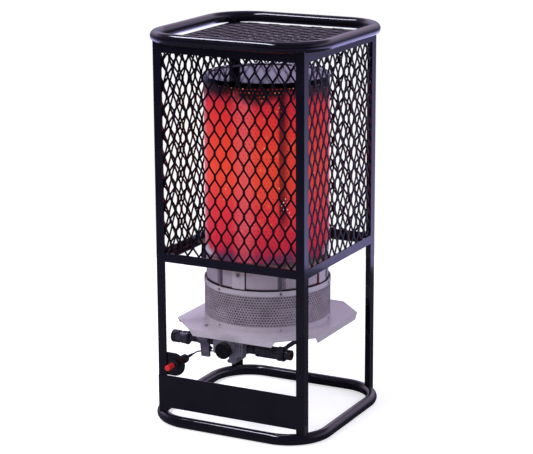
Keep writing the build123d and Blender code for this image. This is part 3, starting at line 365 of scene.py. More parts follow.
def glowing_steel(colours):
    """Perforated stainless at red heat: orange where hottest, crimson below, dull at its rims and seam; its
    pink band, pale outline and silver foot are painted reflections.
    """
    material, tree, shader, place = new_finish("stainless_red_hot", 0.5, 0.1, Emission_Strength=0.5)
    low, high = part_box("emitter_screen")
    split = add(tree, "SeparateXYZ", {0: place})
    up = add(tree, "MapRange", {"Value": split.outputs["Z"], "From Min": low.z, "From Max": high.z})
    cloud = add(tree, "TexNoise", {"Vector": place, "Scale": 1 / (55 * MM), "Detail": 5.0, "Roughness": 0.62})
    shift = add(tree, "MapRange", {"Value": cloud.outputs[0], "From Min": 0.3, "From Max": 0.7,
                                   "To Min": -0.05, "To Max": 0.05})
    level = add(tree, "Math", {0: up.outputs[0], 1: shift.outputs[0]}, operation="ADD")
    heat = add(tree, "ValToRGB", {0: level.outputs[0]}, [
        (0.0, srgb("#5a3550")), (0.03, srgb("#8a2448")), (0.075, srgb("#c3263c")), (0.16, srgb("#d2293a")),
        (0.30, srgb("#da3136")), (0.44, colours.glow), (0.66, srgb("#e63f2a")), (0.80, srgb("#de2d2b")),
        (0.87, srgb("#cb2431")), (0.91, srgb("#a01c2c")), (0.94, srgb("#56131f")), (0.97, srgb("#1a0b10"))])
    angle = add(tree, "Math", {0: split.outputs["Y"], 1: split.outputs["X"]}, operation="ARCTAN2")
    turn = angle.outputs[0]
    cool = add(tree, "MapRange", {"Value": turn, "From Min": radians(EMITTER_COOL[0]),
                                  "From Max": radians(EMITTER_COOL[1]), "To Min": 0.0, "To Max": 0.35})
    red = add(tree, "Mix", {0: cool.outputs[0], 6: heat.outputs[0], 7: srgb("#c4223c")}, data_type="RGBA",
              blend_type="DARKEN")
    # A painted reflection: a pale pink band where a flash mirrors in the steel.
    pink = band(tree, turn, *EMITTER_PINK_REFLECTION, peak=0.45)
    rosy = add(tree, "Mix", {0: pink, 6: red.outputs[2], 7: srgb("#e0606a")}, data_type="RGBA")

    # The seam is darkest near the rim and a third of the way up, and fades out at the foot.
    depth = add(tree, "ValToRGB", {0: level.outputs[0]}, [
        (0.12, level_of(0)), (0.24, level_of(0.7)), (0.31, level_of(0.95)),
        (0.42, level_of(0.7)), (0.68, level_of(0.78)), (0.82, level_of(0.98))])
    dark = add(tree, "Math", {0: band(tree, turn, *EMITTER_SEAM), 1: depth.outputs[0]}, operation="MULTIPLY")
    seamed = add(tree, "Mix", {0: dark.outputs[0], 6: rosy.outputs[2], 7: srgb("#250b16")}, data_type="RGBA")

    # Away from the side that faces the first camera, it is paler at the outline and painted bare silver at
    # its foot: both are painted reflections of steel seen at a slant.
    away = add(tree, "Math", {0: turn, 1: radians(-EMITTER_FACING)}, operation="ADD")
    aside = add(tree, "Math", {0: away.outputs[0]}, operation="ABSOLUTE")
    share = add(tree, "MapRange", {"Value": aside.outputs[0], "From Max": pi})
    edge = add(tree, "ValToRGB", {0: share.outputs[0]}, [
        (0.39, level_of(0)), (0.46, level_of(0.5)), (0.5, level_of(0.6)), (0.56, level_of(0))])
    pale = add(tree, "Mix", {0: edge.outputs[0], 6: seamed.outputs[2], 7: srgb("#cf9fb2")}, data_type="RGBA")
    side = add(tree, "MapRange", {"Value": share.outputs[0], "From Min": 0.31, "From Max": 0.37})
    near_foot = add(tree, "MapRange", {"Value": level.outputs[0], "From Min": 0.02, "From Max": 0.07,
                                  "To Min": 1.0, "To Max": 0.0})
    silver_reflection = add(tree, "Math", {0: side.outputs[0], 1: near_foot.outputs[0]}, operation="MULTIPLY")
    lower = add(tree, "Mix", {0: silver_reflection.outputs[0], 6: pale.outputs[2], 7: srgb("#a89dac")}, data_type="RGBA")
    burnt = add(tree, "MapRange", {"Value": level.outputs[0], "From Min": 0.88, "From Max": 0.94})
    whole = add(tree, "Mix", {0: burnt.outputs[0], 6: lower.outputs[2], 7: srgb("#180b10")}, data_type="RGBA")
    tree.links.new(whole.outputs[2], shader.inputs["Emission Color"])
    tree.links.new(whole.outputs[2], shader.inputs["Base Color"])
    return material


def glowing_cone(colours):
    """Stainless cone inside the emitter: dark red through the holes, with a few specks at yellow heat."""
    material, tree, shader, place = new_finish("stainless_cone_hot", 0.6, 0.5, Emission_Strength=1.0,
                                               Base_Color=srgb("#2a1416"))
    speck = add(tree, "TexNoise", {"Vector": place, "Scale": 1 / (11 * MM), "Detail": 2.0})
    heat = add(tree, "ValToRGB", {0: speck.outputs[0]}, [
        (0.35, srgb("#7d1622")), (0.6, srgb("#a81c24")), (0.7, srgb("#ffb060")), (0.76, srgb("#fff0c0"))])
    tree.links.new(heat.outputs[0], shader.inputs["Emission Color"])
    return material


def tinted_stainless(colours):
    """Polished stainless lid that heat has turned mauve, with a burnt skirt round its rim."""
    material, tree, shader, place = new_finish("stainless_heat_tinted", 0.1, 1.0)
    tone = mottle(tree, shader, place, 40 * MM, srgb("#a097a2"), srgb("#b9aeb8"), (0.07, 0.16))
    facing = add(tree, "SeparateXYZ", {0: add(tree, "NewGeometry").outputs["Normal"]})
    flat = add(tree, "MapRange", {"Value": facing.outputs["Z"], "From Min": 0.5, "From Max": 0.9})
    final = add(tree, "Mix", {0: flat.outputs[0], 6: srgb("#1a1016"), 7: tone.outputs[2]}, data_type="RGBA")
    tree.links.new(final.outputs[2], shader.inputs["Base Color"])
    return material


def plain_stainless(colours):
    """Stainless tube, drawn and left bright, dulled a little by heat."""
    return mottled(new_finish("stainless_drawn", 0.4, 0.9),
                   25 * MM, srgb("#8f8890"), srgb("#b5adb2"), (0.34, 0.5))


def cast_iron(colours):
    """Burner head of grey iron, sand cast, so dark and grainy."""
    return mottled(new_finish("cast_iron_raw", 0.7, 0.5),
                   12 * MM, srgb("#38363a"), srgb("#5a5558"), (0.62, 0.8), (1.2 * MM, 0.3 * MM, 0.6))


def die_cast(colours):
    """Zinc valve body, die cast and tumbled: patchy grey with tiny pits."""
    return mottled(new_finish("zinc_die_cast", 0.32, 0.75),
                   14 * MM, srgb("#8f8a98"), srgb("#b4aebb"), (0.24, 0.4), (1.1 * MM, 0.1 * MM, 0.3))


def turned_brass(colours):
    """Brass turned from bar: warm yellow, with the fine marks of the tool."""
    return mottled(new_finish("brass_turned", 0.28, 1.0),
                   8 * MM, srgb("#b98a4a"), srgb("#d9b173"), (0.22, 0.36), (0.5 * MM, 0.03 * MM, 0.4))


def drawn_copper(colours):
    """Soft copper tube, drawn, and browned in patches."""
    return mottled(new_finish("copper_drawn", 0.33, 1.0),
                   15 * MM, srgb("#9a5a3c"), srgb("#c98460"), (0.26, 0.45))


def zinc_plated(colours):
    """Screws and rivets with bright zinc plating that has yellowed."""
    return mottled(new_finish("zinc_plated_steel", 0.34, 0.9),
                   4 * MM, srgb("#a59f98"), srgb("#d6d0c4"), (0.26, 0.42))


def phenolic(colours):
    """Control knob, moulded in black phenolic: dense and matt, with a fine grain."""
    return mottled(new_finish("phenolic_black", 0.5, Specular_IOR_Level=0.3),
                   10 * MM, srgb("#08080a"), srgb("#111114"), (0.44, 0.6), (0.7 * MM, 0.04 * MM, 0.4))


def black_fitting(colours):
    """Pipe fittings with black enamel so thin that the steel greys it in patches."""
    return mottled(new_finish("fitting_black_enamel", 0.34, 0.35),
                   12 * MM, srgb("#1d1c23"), srgb("#3a3843"), (0.26, 0.44), (1.0 * MM, 0.05 * MM, 0.4))


def blackened_nut(colours):
    """Union nut of steel, oiled black, which keeps a blue-grey metal shine."""
    return mottled(new_finish("steel_black_oxide", 0.32, 0.75),
                   9 * MM, srgb("#4a4854"), srgb("#787584"), (0.24, 0.4), (0.8 * MM, 0.05 * MM, 0.3))


def plated_bracket(colours):
    """Bracket of bright zinc plated strip: it mirrors the dim front, and its colour is darkened to a
    blue-grey as a painted reflection of it.
    """
    return mottled(new_finish("strip_zinc_plated", 0.3, 0.95),
                   12 * MM, srgb("#a39cb2"), srgb("#c6bfce"), (0.24, 0.38))


def moulded_black(colours):
    """Nylon housings, moulded with a fine spark texture."""
    return mottled(new_finish("nylon_black", 0.6),
                   8 * MM, srgb("#131316"), srgb("#1f1f24"), (0.52, 0.7), (0.4 * MM, 0.03 * MM, 0.5))


def button_plastic(colours):
    """Igniter button, moulded in red acetal: even colour, soft gloss."""
    return mottled(new_finish("acetal_red", 0.32, Coat_Weight=0.2),
                   6 * MM, colours.button, srgb("#e23238"), (0.28, 0.4))


def boot_rubber(colours):
    """Silicone rubber boot, moulded: dull black with a little bloom."""
    return mottled(new_finish("silicone_rubber_black", 0.72),
                   9 * MM, srgb("#151518"), srgb("#29292e"), (0.62, 0.8))


def lead_silicone(colours):
    """Ignition lead with an extruded silicone sleeve in grey."""
    return mottled(new_finish("silicone_lead_grey", 0.55),
                   12 * MM, srgb("#3d3a44"), srgb("#5a5662"), (0.48, 0.62))


def glazed_ceramic(colours):
    """Electrode insulator of glazed alumina: off-white and wet looking."""
    return mottled(new_finish("alumina_glazed", 0.22), 7 * MM, srgb("#e2ddd2"), srgb("#f2eee6"), (0.18, 0.3))


FINISHES = {
    "frame_paint": powder_coat,
    "guard_paint": dipped_enamel,
    "zinc_sheet": galvanised,
    "intake_mesh": intake_sheet,
    "hot_screen": glowing_steel,
    "stainless": plain_stainless,
    "cast_burner": cast_iron,
    "cast_zinc": die_cast,
    "brass": turned_brass,
    "copper": drawn_copper,
    "screws": zinc_plated,
    "knob_plastic": phenolic,
    "black_fittings": black_fitting,
    "moulded_black": moulded_black,
    "red_plastic": button_plastic,
    "boot_rubber": boot_rubber,
    "lead_silicone": lead_silicone,
    "electrode_ceramic": glazed_ceramic,
}
made_finishes = {}


def finish_of(slot):
    """The material of a slot, made once."""
    if slot not in made_finishes:
        made_finishes[slot] = FINISHES[slot](bpy.context.scene.heater_colours)
    return made_finishes[slot]


def deselect():
    """Leaves nothing selected, because an operator acts on all that is."""
    bpy.ops.object.select_all(action="DESELECT")


def pick(piece, test):
    """In edit mode, selects the vertices whose place passes the test."""
    bpy.ops.mesh.select_mode(type="VERT")
    bpy.ops.mesh.select_all(action="DESELECT")
    mesh = bmesh.from_edit_mesh(piece.data)
    for vertex in mesh.verts:
        vertex.select = test(vertex.co)
    mesh.select_flush_mode()
    bmesh.update_edit_mesh(piece.data)


def trim(places):
    """In edit mode, cuts the mesh at each plane and drops what lies beyond it."""
    for point, outward in places:
        bpy.ops.mesh.select_all(action="SELECT")
        bpy.ops.mesh.bisect(plane_co=point, plane_no=outward, clear_outer=True)


def apply_modifier(piece, kind, **settings):
    """Adds a modifier to the active piece, sets it and applies it."""
    modifier = piece.modifiers.new(kind.title(), kind)
    for name, value in settings.items():
        setattr(modifier, name, value)
    bpy.ops.object.modifier_apply(modifier=modifier.name)


def repeat(piece, count, offset):
    """Repeats the active piece in a row."""
    apply_modifier(piece, "ARRAY", count=count, use_relative_offset=False, use_constant_offset=True,
                   constant_offset_displace=offset)


def hand_over(piece, name, body, slot, *replaced):
    """Names a finished piece, gives it its finish, and ties it to its body and to the nodes it stands for."""
    piece.name = name
    piece.data.name = name
    piece.data.materials.clear()
    piece.data.materials.append(finish_of(slot))
    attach(piece, body)
    if replaced:
        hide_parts(*replaced)


def cell(width, tip, half_side, web):
    """One pointed six-sided cell with a hole, flat in X and Y, with upright sides and its tips along Y."""
    deselect()
    bpy.ops.mesh.primitive_circle_add(vertices=6, radius=1, fill_type="NGON")
    piece = bpy.context.object
    bpy.ops.object.mode_set(mode="EDIT")
    bpy.ops.mesh.select_all(action="SELECT")
    bpy.ops.transform.resize(value=(width / sqrt(3), tip, 1))
    pick(piece, lambda p: abs(p.x) > width / 4)
    bpy.ops.transform.resize(value=(1, half_side / (tip / 2), 1))
    bpy.ops.mesh.select_all(action="SELECT")
    bpy.ops.mesh.inset(thickness=web, use_even_offset=True)
    bpy.ops.mesh.delete(type="ONLY_FACE")
    return piece


def expanded_sheet(net, width, height, corner=0.0):
    """A sheet of expanded metal in X and Y, with its long way along Y, cut to size round the origin."""
    half_bond = net.bond_length / 2
    piece = cell(net.short_way, net.long_way / 2 - half_bond, half_bond, net.strand / 2)
    for side in (-1, 1):
        pick(piece, lambda p: net.short_way / 4 < side * p.x < (net.short_way - net.strand / 2) / 2)
        bpy.ops.transform.translate(value=(side * (net.strand - net.bond_width) / 2, 0, -side * net.tilt))
    bpy.ops.mesh.select_all(action="SELECT")
    bpy.ops.mesh.duplicate()
    bpy.ops.transform.translate(value=(net.short_way / 2, net.long_way / 2, 0))
    bpy.ops.object.mode_set(mode="OBJECT")
    columns, rows = ceil(width / net.short_way) + 1, ceil(height / net.long_way) + 1
    repeat(piece, columns, (net.short_way, 0, 0))
    repeat(piece, rows, (0, net.long_way, 0))
    bpy.ops.object.mode_set(mode="EDIT")
    bpy.ops.mesh.select_all(action="SELECT")
    bpy.ops.mesh.remove_doubles(threshold=MERGE_WITHIN)
    centre = (-(columns - 0.5) / 2 * net.short_way, -(rows - 0.5) / 2 * net.long_way, 0)
    bpy.ops.transform.translate(value=centre)
    x, y, slant = width / 2, height / 2, corner / 2
    trim([((x, 0, 0), (1, 0, 0)), ((-x, 0, 0), (-1, 0, 0)), ((0, y, 0), (0, 1, 0)), ((0, -y, 0), (0, -1, 0))])
    if corner:
        trim([((i * (x - slant), j * (y - slant), 0), (i, j, 0)) for i in (-1, 1) for j in (-1, 1)])
    bpy.ops.object.mode_set(mode="OBJECT")
    apply_modifier(piece, "SOLIDIFY", thickness=net.sheet, offset=0.0, use_even_offset=True)
    apply_modifier(piece, "BEVEL", width=net.edge, segments=2, limit_method="ANGLE", angle_limit=SHARP_EDGE)
    bpy.ops.object.shade_smooth_by_angle(angle=SHARP_EDGE)
    return piece


def put(piece, turn=(0, 0, 0), place=(0, 0, 0)):
    """Turns and moves the active piece and writes its place into its mesh."""
    piece.rotation_euler = turn
    piece.location = place
    bpy.ops.object.transform_apply(location=True, rotation=True, scale=True)


class HEATER_OT_guard_panels(bpy.types.Operator):
    """Adds the four panels of expanded metal"""

    bl_idname = "heater.guard_panels"
    bl_label = "Guard panels"

    def execute(self, context):
        """Makes one panel and copies it round the cage."""
        net = context.scene.heater_net
        low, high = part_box("guard_mesh_front")
        panel = expanded_sheet(net, high.x - low.x, high.z - low.z)
        sink = net.tilt + net.sheet / 2
        put(panel, (pi / 2, 0, 0), (0, low.y + sink, (low.z + high.z) / 2))
        panels = [panel]
        for quarter in (1, 2, 3):
            deselect()
            panel.select_set(True)
            context.view_layer.objects.active = panel
            bpy.ops.object.duplicate()
            put(context.object, (0, 0, quarter * pi / 2))
            panels.append(context.object)
        for piece, side in zip(panels, SIDES):
            hand_over(piece, "guard_net_" + side, "root", "guard_paint", "guard_mesh_" + side)
        return {"FINISHED"}


class HEATER_OT_top_grille(bpy.types.Operator):
    """Adds the lid of expanded metal"""

    bl_idname = "heater.top_grille"
    bl_label = "Top grille"

    def execute(self, context):
        """Makes the sheet with its long way across the front."""
        net = context.scene.heater_net
        low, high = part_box("top_grille")
        piece = expanded_sheet(net, high.y - low.y, high.x - low.x, GRILLE_CORNER)
        put(piece, (0, 0, pi / 2), (0, 0, low.z + net.tilt + net.sheet / 2))
        hand_over(piece, "grille_net", "root", "guard_paint", "top_grille")
        return {"FINISHED"}


def perforated_wall(node, pitch, hole, thickness):
    """An upright round wall of staggered holes, as large as the node whose place it takes."""
    low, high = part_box(node)
    radius = high.x - thickness / 2
    count = round(2 * pi * radius / pitch)
    step = 2 * pi / count
    width = 2 * radius * tan(step / 2)
    row = width * sqrt(3)
    piece = cell(width, row / 3, row / 6, (width - hole) / 2)
    bpy.ops.object.mode_set(mode="OBJECT")
    put(piece, (pi / 2, 0, pi / 2), (radius, 0, low.z))
    repeat(piece, ceil((high.z - low.z) / row) + 1, (0, 0, row))
    bpy.ops.object.mode_set(mode="EDIT")
    bpy.ops.mesh.select_all(action="SELECT")
    bpy.ops.mesh.duplicate()
    bpy.ops.transform.rotate(value=step / 2, orient_axis="Z", center_override=(0, 0, 0))
    bpy.ops.transform.translate(value=(0, 0, -row / 2))
    bpy.ops.mesh.select_all(action="SELECT")
    bpy.ops.mesh.remove_doubles(threshold=MERGE_WITHIN)
    trim([((0, 0, low.z), (0, 0, -1)), ((0, 0, high.z), (0, 0, 1))])
    bpy.ops.mesh.select_all(action="SELECT")
    bpy.ops.mesh.spin(steps=count - 1, dupli=True, angle=2 * pi - step, center=(0, 0, 0), axis=(0, 0, 1))
    bpy.ops.mesh.select_all(action="SELECT")
    bpy.ops.mesh.remove_doubles(threshold=MERGE_WITHIN)
    bpy.ops.mesh.normals_make_consistent(inside=False)
    bpy.ops.object.mode_set(mode="OBJECT")
    apply_modifier(piece, "SOLIDIFY", thickness=thickness, offset=0.0)
    bpy.ops.object.shade_smooth_by_angle(angle=SMOOTH_WALL)
    return piece


class HEATER_OT_intake_screen(bpy.types.Operator):
    """Adds the perforated wall of the air intake"""

    bl_idname = "heater.intake_screen"
    bl_label = "Intake screen"

    def execute(self, context):
        """Makes the wall where the node is."""
        sizes = context.scene.heater_screens
        piece = perforated_wall("intake_screen", sizes.intake_pitch, sizes.intake_hole, sizes.intake_sheet)
        hand_over(piece, "intake_perforated_wall", "root", "intake_mesh", "intake_screen")
        return {"FINISHED"}


class HEATER_OT_emitter(bpy.types.Operator):
    """Adds the perforated emitter"""

    bl_idname = "heater.emitter"
    bl_label = "Emitter"

    def execute(self, context):
        """Makes the wall where the node is."""
        sizes = context.scene.heater_screens
        piece = perforated_wall("emitter_screen", sizes.emitter_pitch, sizes.emitter_hole,
                                sizes.emitter_sheet)
        hand_over(piece, "emitter_perforated_wall", "root", "hot_screen", "emitter_screen")
        return {"FINISHED"}


def slab(low, high):
    """A block between two corners in millimetres, alone in the selection."""
    deselect()
    middle = [(a + b) / 2 * MM for a, b in zip(low, high)]
    size = [(b - a) * MM for a, b in zip(low, high)]
    bpy.ops.mesh.primitive_cube_add(size=1, location=middle, scale=size)
    bpy.ops.object.transform_apply(location=True, rotation=True, scale=True)
    return bpy.context.object


def merge(pieces):
    """Joins pieces into the first one."""
    deselect()
    for piece in pieces:
        piece.select_set(True)
    bpy.context.view_layer.objects.active = pieces[0]
    bpy.ops.object.join()
    return pieces[0]


def soften(piece, width):
    """Rounds the sharp edges of the active piece and shades it."""
    apply_modifier(piece, "BEVEL", width=width, segments=2, limit_method="ANGLE", angle_limit=SHARP_EDGE)
    bpy.ops.object.shade_smooth_by_angle(angle=SMOOTH_UNDER)


class HEATER_OT_gussets(bpy.types.Operator):
    """Adds the gussets under the mid rails"""

    bl_idname = "heater.gussets"
    bl_label = "Gussets"

    def execute(self, context):
        """Makes deep gussets on the left and at the back, and short ones behind the other two rails."""
        pieces = []
        for quarter, depth in enumerate((GUSSET_LOW, GUSSET_DEEP, GUSSET_DEEP, GUSSET_LOW)):
            bottom = GUSSET_TOP - depth
            piece = slab((GUSSET_INNER, -GUSSET_HALF, bottom), (GUSSET_OUTER, GUSSET_HALF, GUSSET_TOP))
            bpy.ops.object.mode_set(mode="EDIT")
            pick(piece, lambda p: p.z < (GUSSET_TOP + bottom) / 2 * MM)
            flare = 1 + depth / (2 * GUSSET_DEEP)
            bpy.ops.transform.resize(value=(1, flare, 1), center_override=(GUSSET_INNER * MM, 0, bottom * MM))
            bpy.ops.object.mode_set(mode="OBJECT")
            put(piece, (0, 0, quarter * pi / 2))
            pieces.append(piece)
        piece = merge(pieces)
        soften(piece, GUSSET_EDGE * MM)
        hand_over(piece, "rail_gussets", "root", "frame_paint", "hanger_gussets")
        return {"FINISHED"}


class HEATER_OT_stiffeners(bpy.types.Operator):
    """Adds the two bars under the base plate"""

    bl_idname = "heater.stiffeners"
    bl_label = "Plate stiffeners"

    def execute(self, context):
        """Makes two angles that end inside the plate, but for the right one's front end."""
        low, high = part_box("plate_stiffeners")
        bottom, top, outer = low.z / MM, high.z / MM, high.x / MM
        pieces = []
        for side, front in ((1, low.y / MM), (-1, ANGLE_LEFT_FRONT)):
            piece = slab((outer - ANGLE_LEG, front, bottom), (outer, ANGLE_BACK_END, bottom + ANGLE_WALL))
            bpy.ops.object.mode_set(mode="EDIT")
            bpy.ops.mesh.select_all(action="SELECT")
            bpy.ops.mesh.bisect(plane_co=((outer - ANGLE_WALL) * MM, 0, 0), plane_no=(1, 0, 0))
            inside, under = (outer - ANGLE_WALL - NEAR) * MM, (bottom + ANGLE_WALL - NEAR) * MM
            pick(piece, lambda p: p.x > inside and p.z > under)
            rise = (0, 0, (top - bottom - ANGLE_WALL) * MM)
            bpy.ops.mesh.extrude_region_move(TRANSFORM_OT_translate={"value": rise})
            bpy.ops.object.mode_set(mode="OBJECT")
            if side < 0:
                piece.scale = (-1, 1, 1)
                bpy.ops.object.transform_apply(location=True, rotation=True, scale=True)
                bpy.ops.object.mode_set(mode="EDIT")
                bpy.ops.mesh.select_all(action="SELECT")
                bpy.ops.mesh.normals_make_consistent(inside=False)
                bpy.ops.object.mode_set(mode="OBJECT")
            pieces.append(piece)
        piece = merge(pieces)
        soften(piece, PRESSED_EDGE * MM)
        hand_over(piece, "plate_angles", "root", "frame_paint", "plate_stiffeners")
        return {"FINISHED"}


class HEATER_OT_bracket(bpy.types.Operator):
    """Adds the bracket of the left pipe"""

    bl_idname = "heater.bracket"
    bl_label = "Pipe bracket"

    def execute(self, context):
        """Makes the band round the pipe, the tab below it with its flange, and the wall up to the plate."""
        low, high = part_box("pipe_bracket")
        front, top, bottom = low.y / MM, high.z / MM, low.z / MM
        left, right = CLIP_TAB
        tab = slab((left, front, bottom), (right, front + CLIP_WALL, CLIP_TAB_TOP))
        bpy.ops.object.mode_set(mode="EDIT")
        bpy.ops.mesh.select_all(action="SELECT")
        bpy.ops.mesh.bisect(plane_co=((right - CLIP_WALL) * MM, 0, 0), plane_no=(1, 0, 0))
        inside, behind = (right - CLIP_WALL - NEAR) * MM, (front + CLIP_WALL - NEAR) * MM
        pick(tab, lambda p: p.x > inside and p.y > behind)
        bpy.ops.mesh.extrude_region_move(TRANSFORM_OT_translate={"value": (0, CLIP_FLANGE * MM, 0)})
        pick(tab, lambda p: p.z < (bottom + 1) * MM and p.x < (left + 1) * MM)
        bpy.ops.transform.translate(value=(CLIP_TAB_TAPER * MM, 0, 0))
        bpy.ops.object.mode_set(mode="OBJECT")
        plate = slab((CLIP_PLATE[0], front, CLIP_PLATE_BOTTOM), (CLIP_PLATE[1], front + CLIP_WALL, top))
        deselect()
        bpy.ops.mesh.primitive_cylinder_add(vertices=40, radius=BAND_RADIUS * MM, depth=BAND_WIDTH * MM,
                                            end_fill_type="NOTHING", rotation=(0, pi / 2, 0),
                                            location=[c * MM for c in BAND_PLACE])
        ring = context.object
        bpy.ops.object.transform_apply(location=True, rotation=True, scale=True)
        bpy.ops.object.mode_set(mode="EDIT")
        trim([((0, BAND_BACK * MM, 0), (0, 1, 0))])
        bpy.ops.object.mode_set(mode="OBJECT")
        apply_modifier(ring, "SOLIDIFY", thickness=BAND_WALL * MM, offset=-1.0)
        piece = merge([tab, plate, ring])
        soften(piece, PRESSED_EDGE * MM)
        hand_over(piece, "pipe_clip", "root", "zinc_sheet", "pipe_bracket")
        piece.data.materials[0] = plated_bracket(context.scene.heater_colours)
        return {"FINISHED"}


def turned(profile, place, turn):
    """A part turned round its own axis from radii and heights in millimetres, then laid in its place."""
    deselect()
    bpy.ops.mesh.primitive_circle_add(vertices=32, radius=profile[0][0] * MM, fill_type="NGON")
    piece = bpy.context.object
    bpy.ops.object.mode_set(mode="EDIT")
    bpy.ops.mesh.select_all(action="SELECT")
    for (radius, height), (next_radius, next_height) in zip(profile, profile[1:]):
        rise = (0, 0, (next_height - height) * MM)
        bpy.ops.mesh.extrude_region_move(TRANSFORM_OT_translate={"value": rise})
        share = next_radius / radius
        bpy.ops.transform.resize(value=(share, share, 1))
    bpy.ops.mesh.select_all(action="SELECT")
    bpy.ops.mesh.normals_make_consistent(inside=False)
    bpy.ops.object.mode_set(mode="OBJECT")
    put(piece, turn, [c * MM for c in place])
    bpy.ops.object.shade_smooth_by_angle(angle=SMOOTH_UNDER)
    return piece


class HEATER_OT_valve_trim(bpy.types.Operator):
    """Adds the nipple and the screw of the valve, and the screw of the pipe bracket"""

    bl_idname = "heater.valve_trim"
    bl_label = "Valve trim"

    def execute(self, context):
        """Turns all three and seats them on what they close."""
        forward = (pi / 2, 0, 0)
        hand_over(turned(NIPPLE, NIPPLE_PLACE, forward), "valve_nipple", "root", "screws")
        hand_over(turned(VALVE_SCREW, VALVE_SCREW_PLACE, forward), "valve_screw", "root", "brass")
        hand_over(turned(CLIP_SCREW, CLIP_SCREW_PLACE, forward), "clip_screw", "root", "screws")
        return {"FINISHED"}


class HEATER_OT_boot(bpy.types.Operator):
    """Adds the rubber boot behind the igniter"""

    bl_idname = "heater.boot"
    bl_label = "Igniter boot"

    def execute(self, context):
        """Turns a boot that tapers to the lead."""
        low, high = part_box("igniter_boot")
        long = (high.y - low.y) / MM
        profile = [(6.0, 0), (6.0, 5), (4.6, 8), (3.4, 14), (3.0, long - 9), (2.3, long - 7), (2.0, long)]
        place = ((low.x + high.x) / 2 / MM, low.y / MM, (low.z + high.z) / 2 / MM)
        boot = turned(profile, place, (-pi / 2, 0, 0))
        hand_over(boot, "tapered_boot", "root", "boot_rubber", "igniter_boot")
        return {"FINISHED"}


class HEATER_OT_finishes(bpy.types.Operator):
    """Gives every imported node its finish"""

    bl_idname = "heater.finishes"
    bl_label = "Finishes"

    def execute(self, context):
        """Assigns each node the material of its slot."""
        colours = context.scene.heater_colours
        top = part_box("burner_drum")[1].z
        special = {
            "burner_drum": drum_sheet(colours, top - HEATED_RIM, top),
            # The standoffs get a painted shade.
            "ring_standoffs": strip_in_painted_shade(colours),
            "burner_straps": galvanised(colours, "galvanised_strap_heated", top - HEATED_RIM, top),
            "inner_cone": glowing_cone(colours),
            "emitter_top_cap": tinted_stainless(colours),
            "swivel_nut": blackened_nut(colours),
            "igniter_nut": black_fitting(colours),
            # Brass that has browned to the tone of copper.
            "inlet_insert": drawn_copper(colours),
        }
        for part in frame["record"]["subparts"]:
            node = nodes[part["node"]]
            node.data.materials.clear()
            node.data.materials.append(special.get(part["node"]) or finish_of(part["material_slot"]))
        return {"FINISHED"}


def studio_world():
    """White to the camera, pale and soft on the object, and violet cards in its gloss, dimmer in front."""
    world = bpy.data.worlds.new("studio")
    world.use_nodes = True
    tree = world.node_tree
    sky = tree.nodes["Background"]
    ray = add(tree, "LightPath")
    way = add(tree, "SeparateXYZ", {0: add(tree, "TexCoord").outputs["Generated"]})
    behind = add(tree, "MapRange", {"Value": way.outputs["Y"], "From Min": -0.3, "From Max": 0.35,
                                    "To Min": WORLD_FRONT, "To Max": 1.0})

    # From low to high: a bright violet card, a dark horizon, a mauve card and a dark ceiling.
    rise = add(tree, "MapRange", {"Value": way.outputs["Z"], "From Min": -0.5, "From Max": 1.0})
    cards = add(tree, "ValToRGB", {0: rise.outputs[0]}, [
        (0.10, (0.52, 0.49, 0.95, 1)), (0.22, (0.15, 0.14, 0.27, 1)), (0.30, (0.05, 0.045, 0.09, 1)),
        (0.46, (0.2, 0.18, 0.28, 1)), (0.62, (0.46, 0.37, 0.52, 1)), (0.76, (0.1, 0.085, 0.14, 1))])
    mirrored = add(tree, "Math", {0: behind.outputs[0], 1: WORLD_GLOSS}, operation="MULTIPLY")
    shown = add(tree, "Mix", {0: ray.outputs["Is Glossy Ray"], 2: WORLD_SOFT, 3: mirrored.outputs[0]},
                data_type="FLOAT")
    seen = add(tree, "Math", {0: ray.outputs["Is Camera Ray"], 1: ray.outputs["Is Transmission Ray"]},
               operation="ADD")
    strength = add(tree, "Mix", {0: seen.outputs[0], 2: shown.outputs[0], 3: 1.0}, data_type="FLOAT")
    around = add(tree, "Mix", {0: ray.outputs["Is Glossy Ray"], 6: srgb("#f1eef8"), 7: cards.outputs[0]},
                 data_type="RGBA")
    colour = add(tree, "Mix", {0: seen.outputs[0], 6: around.outputs[2], 7: (1, 1, 1, 1)}, data_type="RGBA")
    tree.links.new(strength.outputs[0], sky.inputs["Strength"])
    tree.links.new(colour.outputs[2], sky.inputs["Color"])
    bpy.context.scene.world = world


def floor_finish():
    """Pale matt floor that shows white to the camera and keeps the shadow."""
    material, tree, shader, _ = new_finish("floor_matt_white", 0.9, Specular_IOR_Level=0.1,
                                           Emission_Color=(1, 1, 1, 1))
    ray = add(tree, "LightPath")
    pale = add(tree, "Mix", {0: ray.outputs["Is Glossy Ray"], 6: srgb("#ededf1"), 7: srgb("#5c5b66")},
               data_type="RGBA")
    tree.links.new(pale.outputs[2], shader.inputs["Base Color"])
    lift = add(tree, "Math", {0: ray.outputs["Is Camera Ray"], 1: FLOOR_LIFT}, operation="MULTIPLY")
    tree.links.new(lift.outputs[0], shader.inputs["Emission Strength"])
    return material


def softbox(name, place, width, depth, power, colour, mirrored):
    """A rectangular lamp that looks at the heater; gloss may be kept from mirroring it."""
    lamp = bpy.data.lights.new(name, "AREA")
    lamp.shape = "RECTANGLE"
    lamp.size = width
    lamp.size_y = depth
    lamp.energy = power
    lamp.color = srgb(colour)[:3]
    holder = bpy.data.objects.new(name, lamp)
    bpy.context.scene.collection.objects.link(holder)
    holder.location = place
    holder.rotation_mode = "QUATERNION"
    holder.rotation_quaternion = (Vector(LAMP_TARGET) - Vector(place)).to_track_quat("-Z", "Y")
    holder.visible_glossy = mirrored


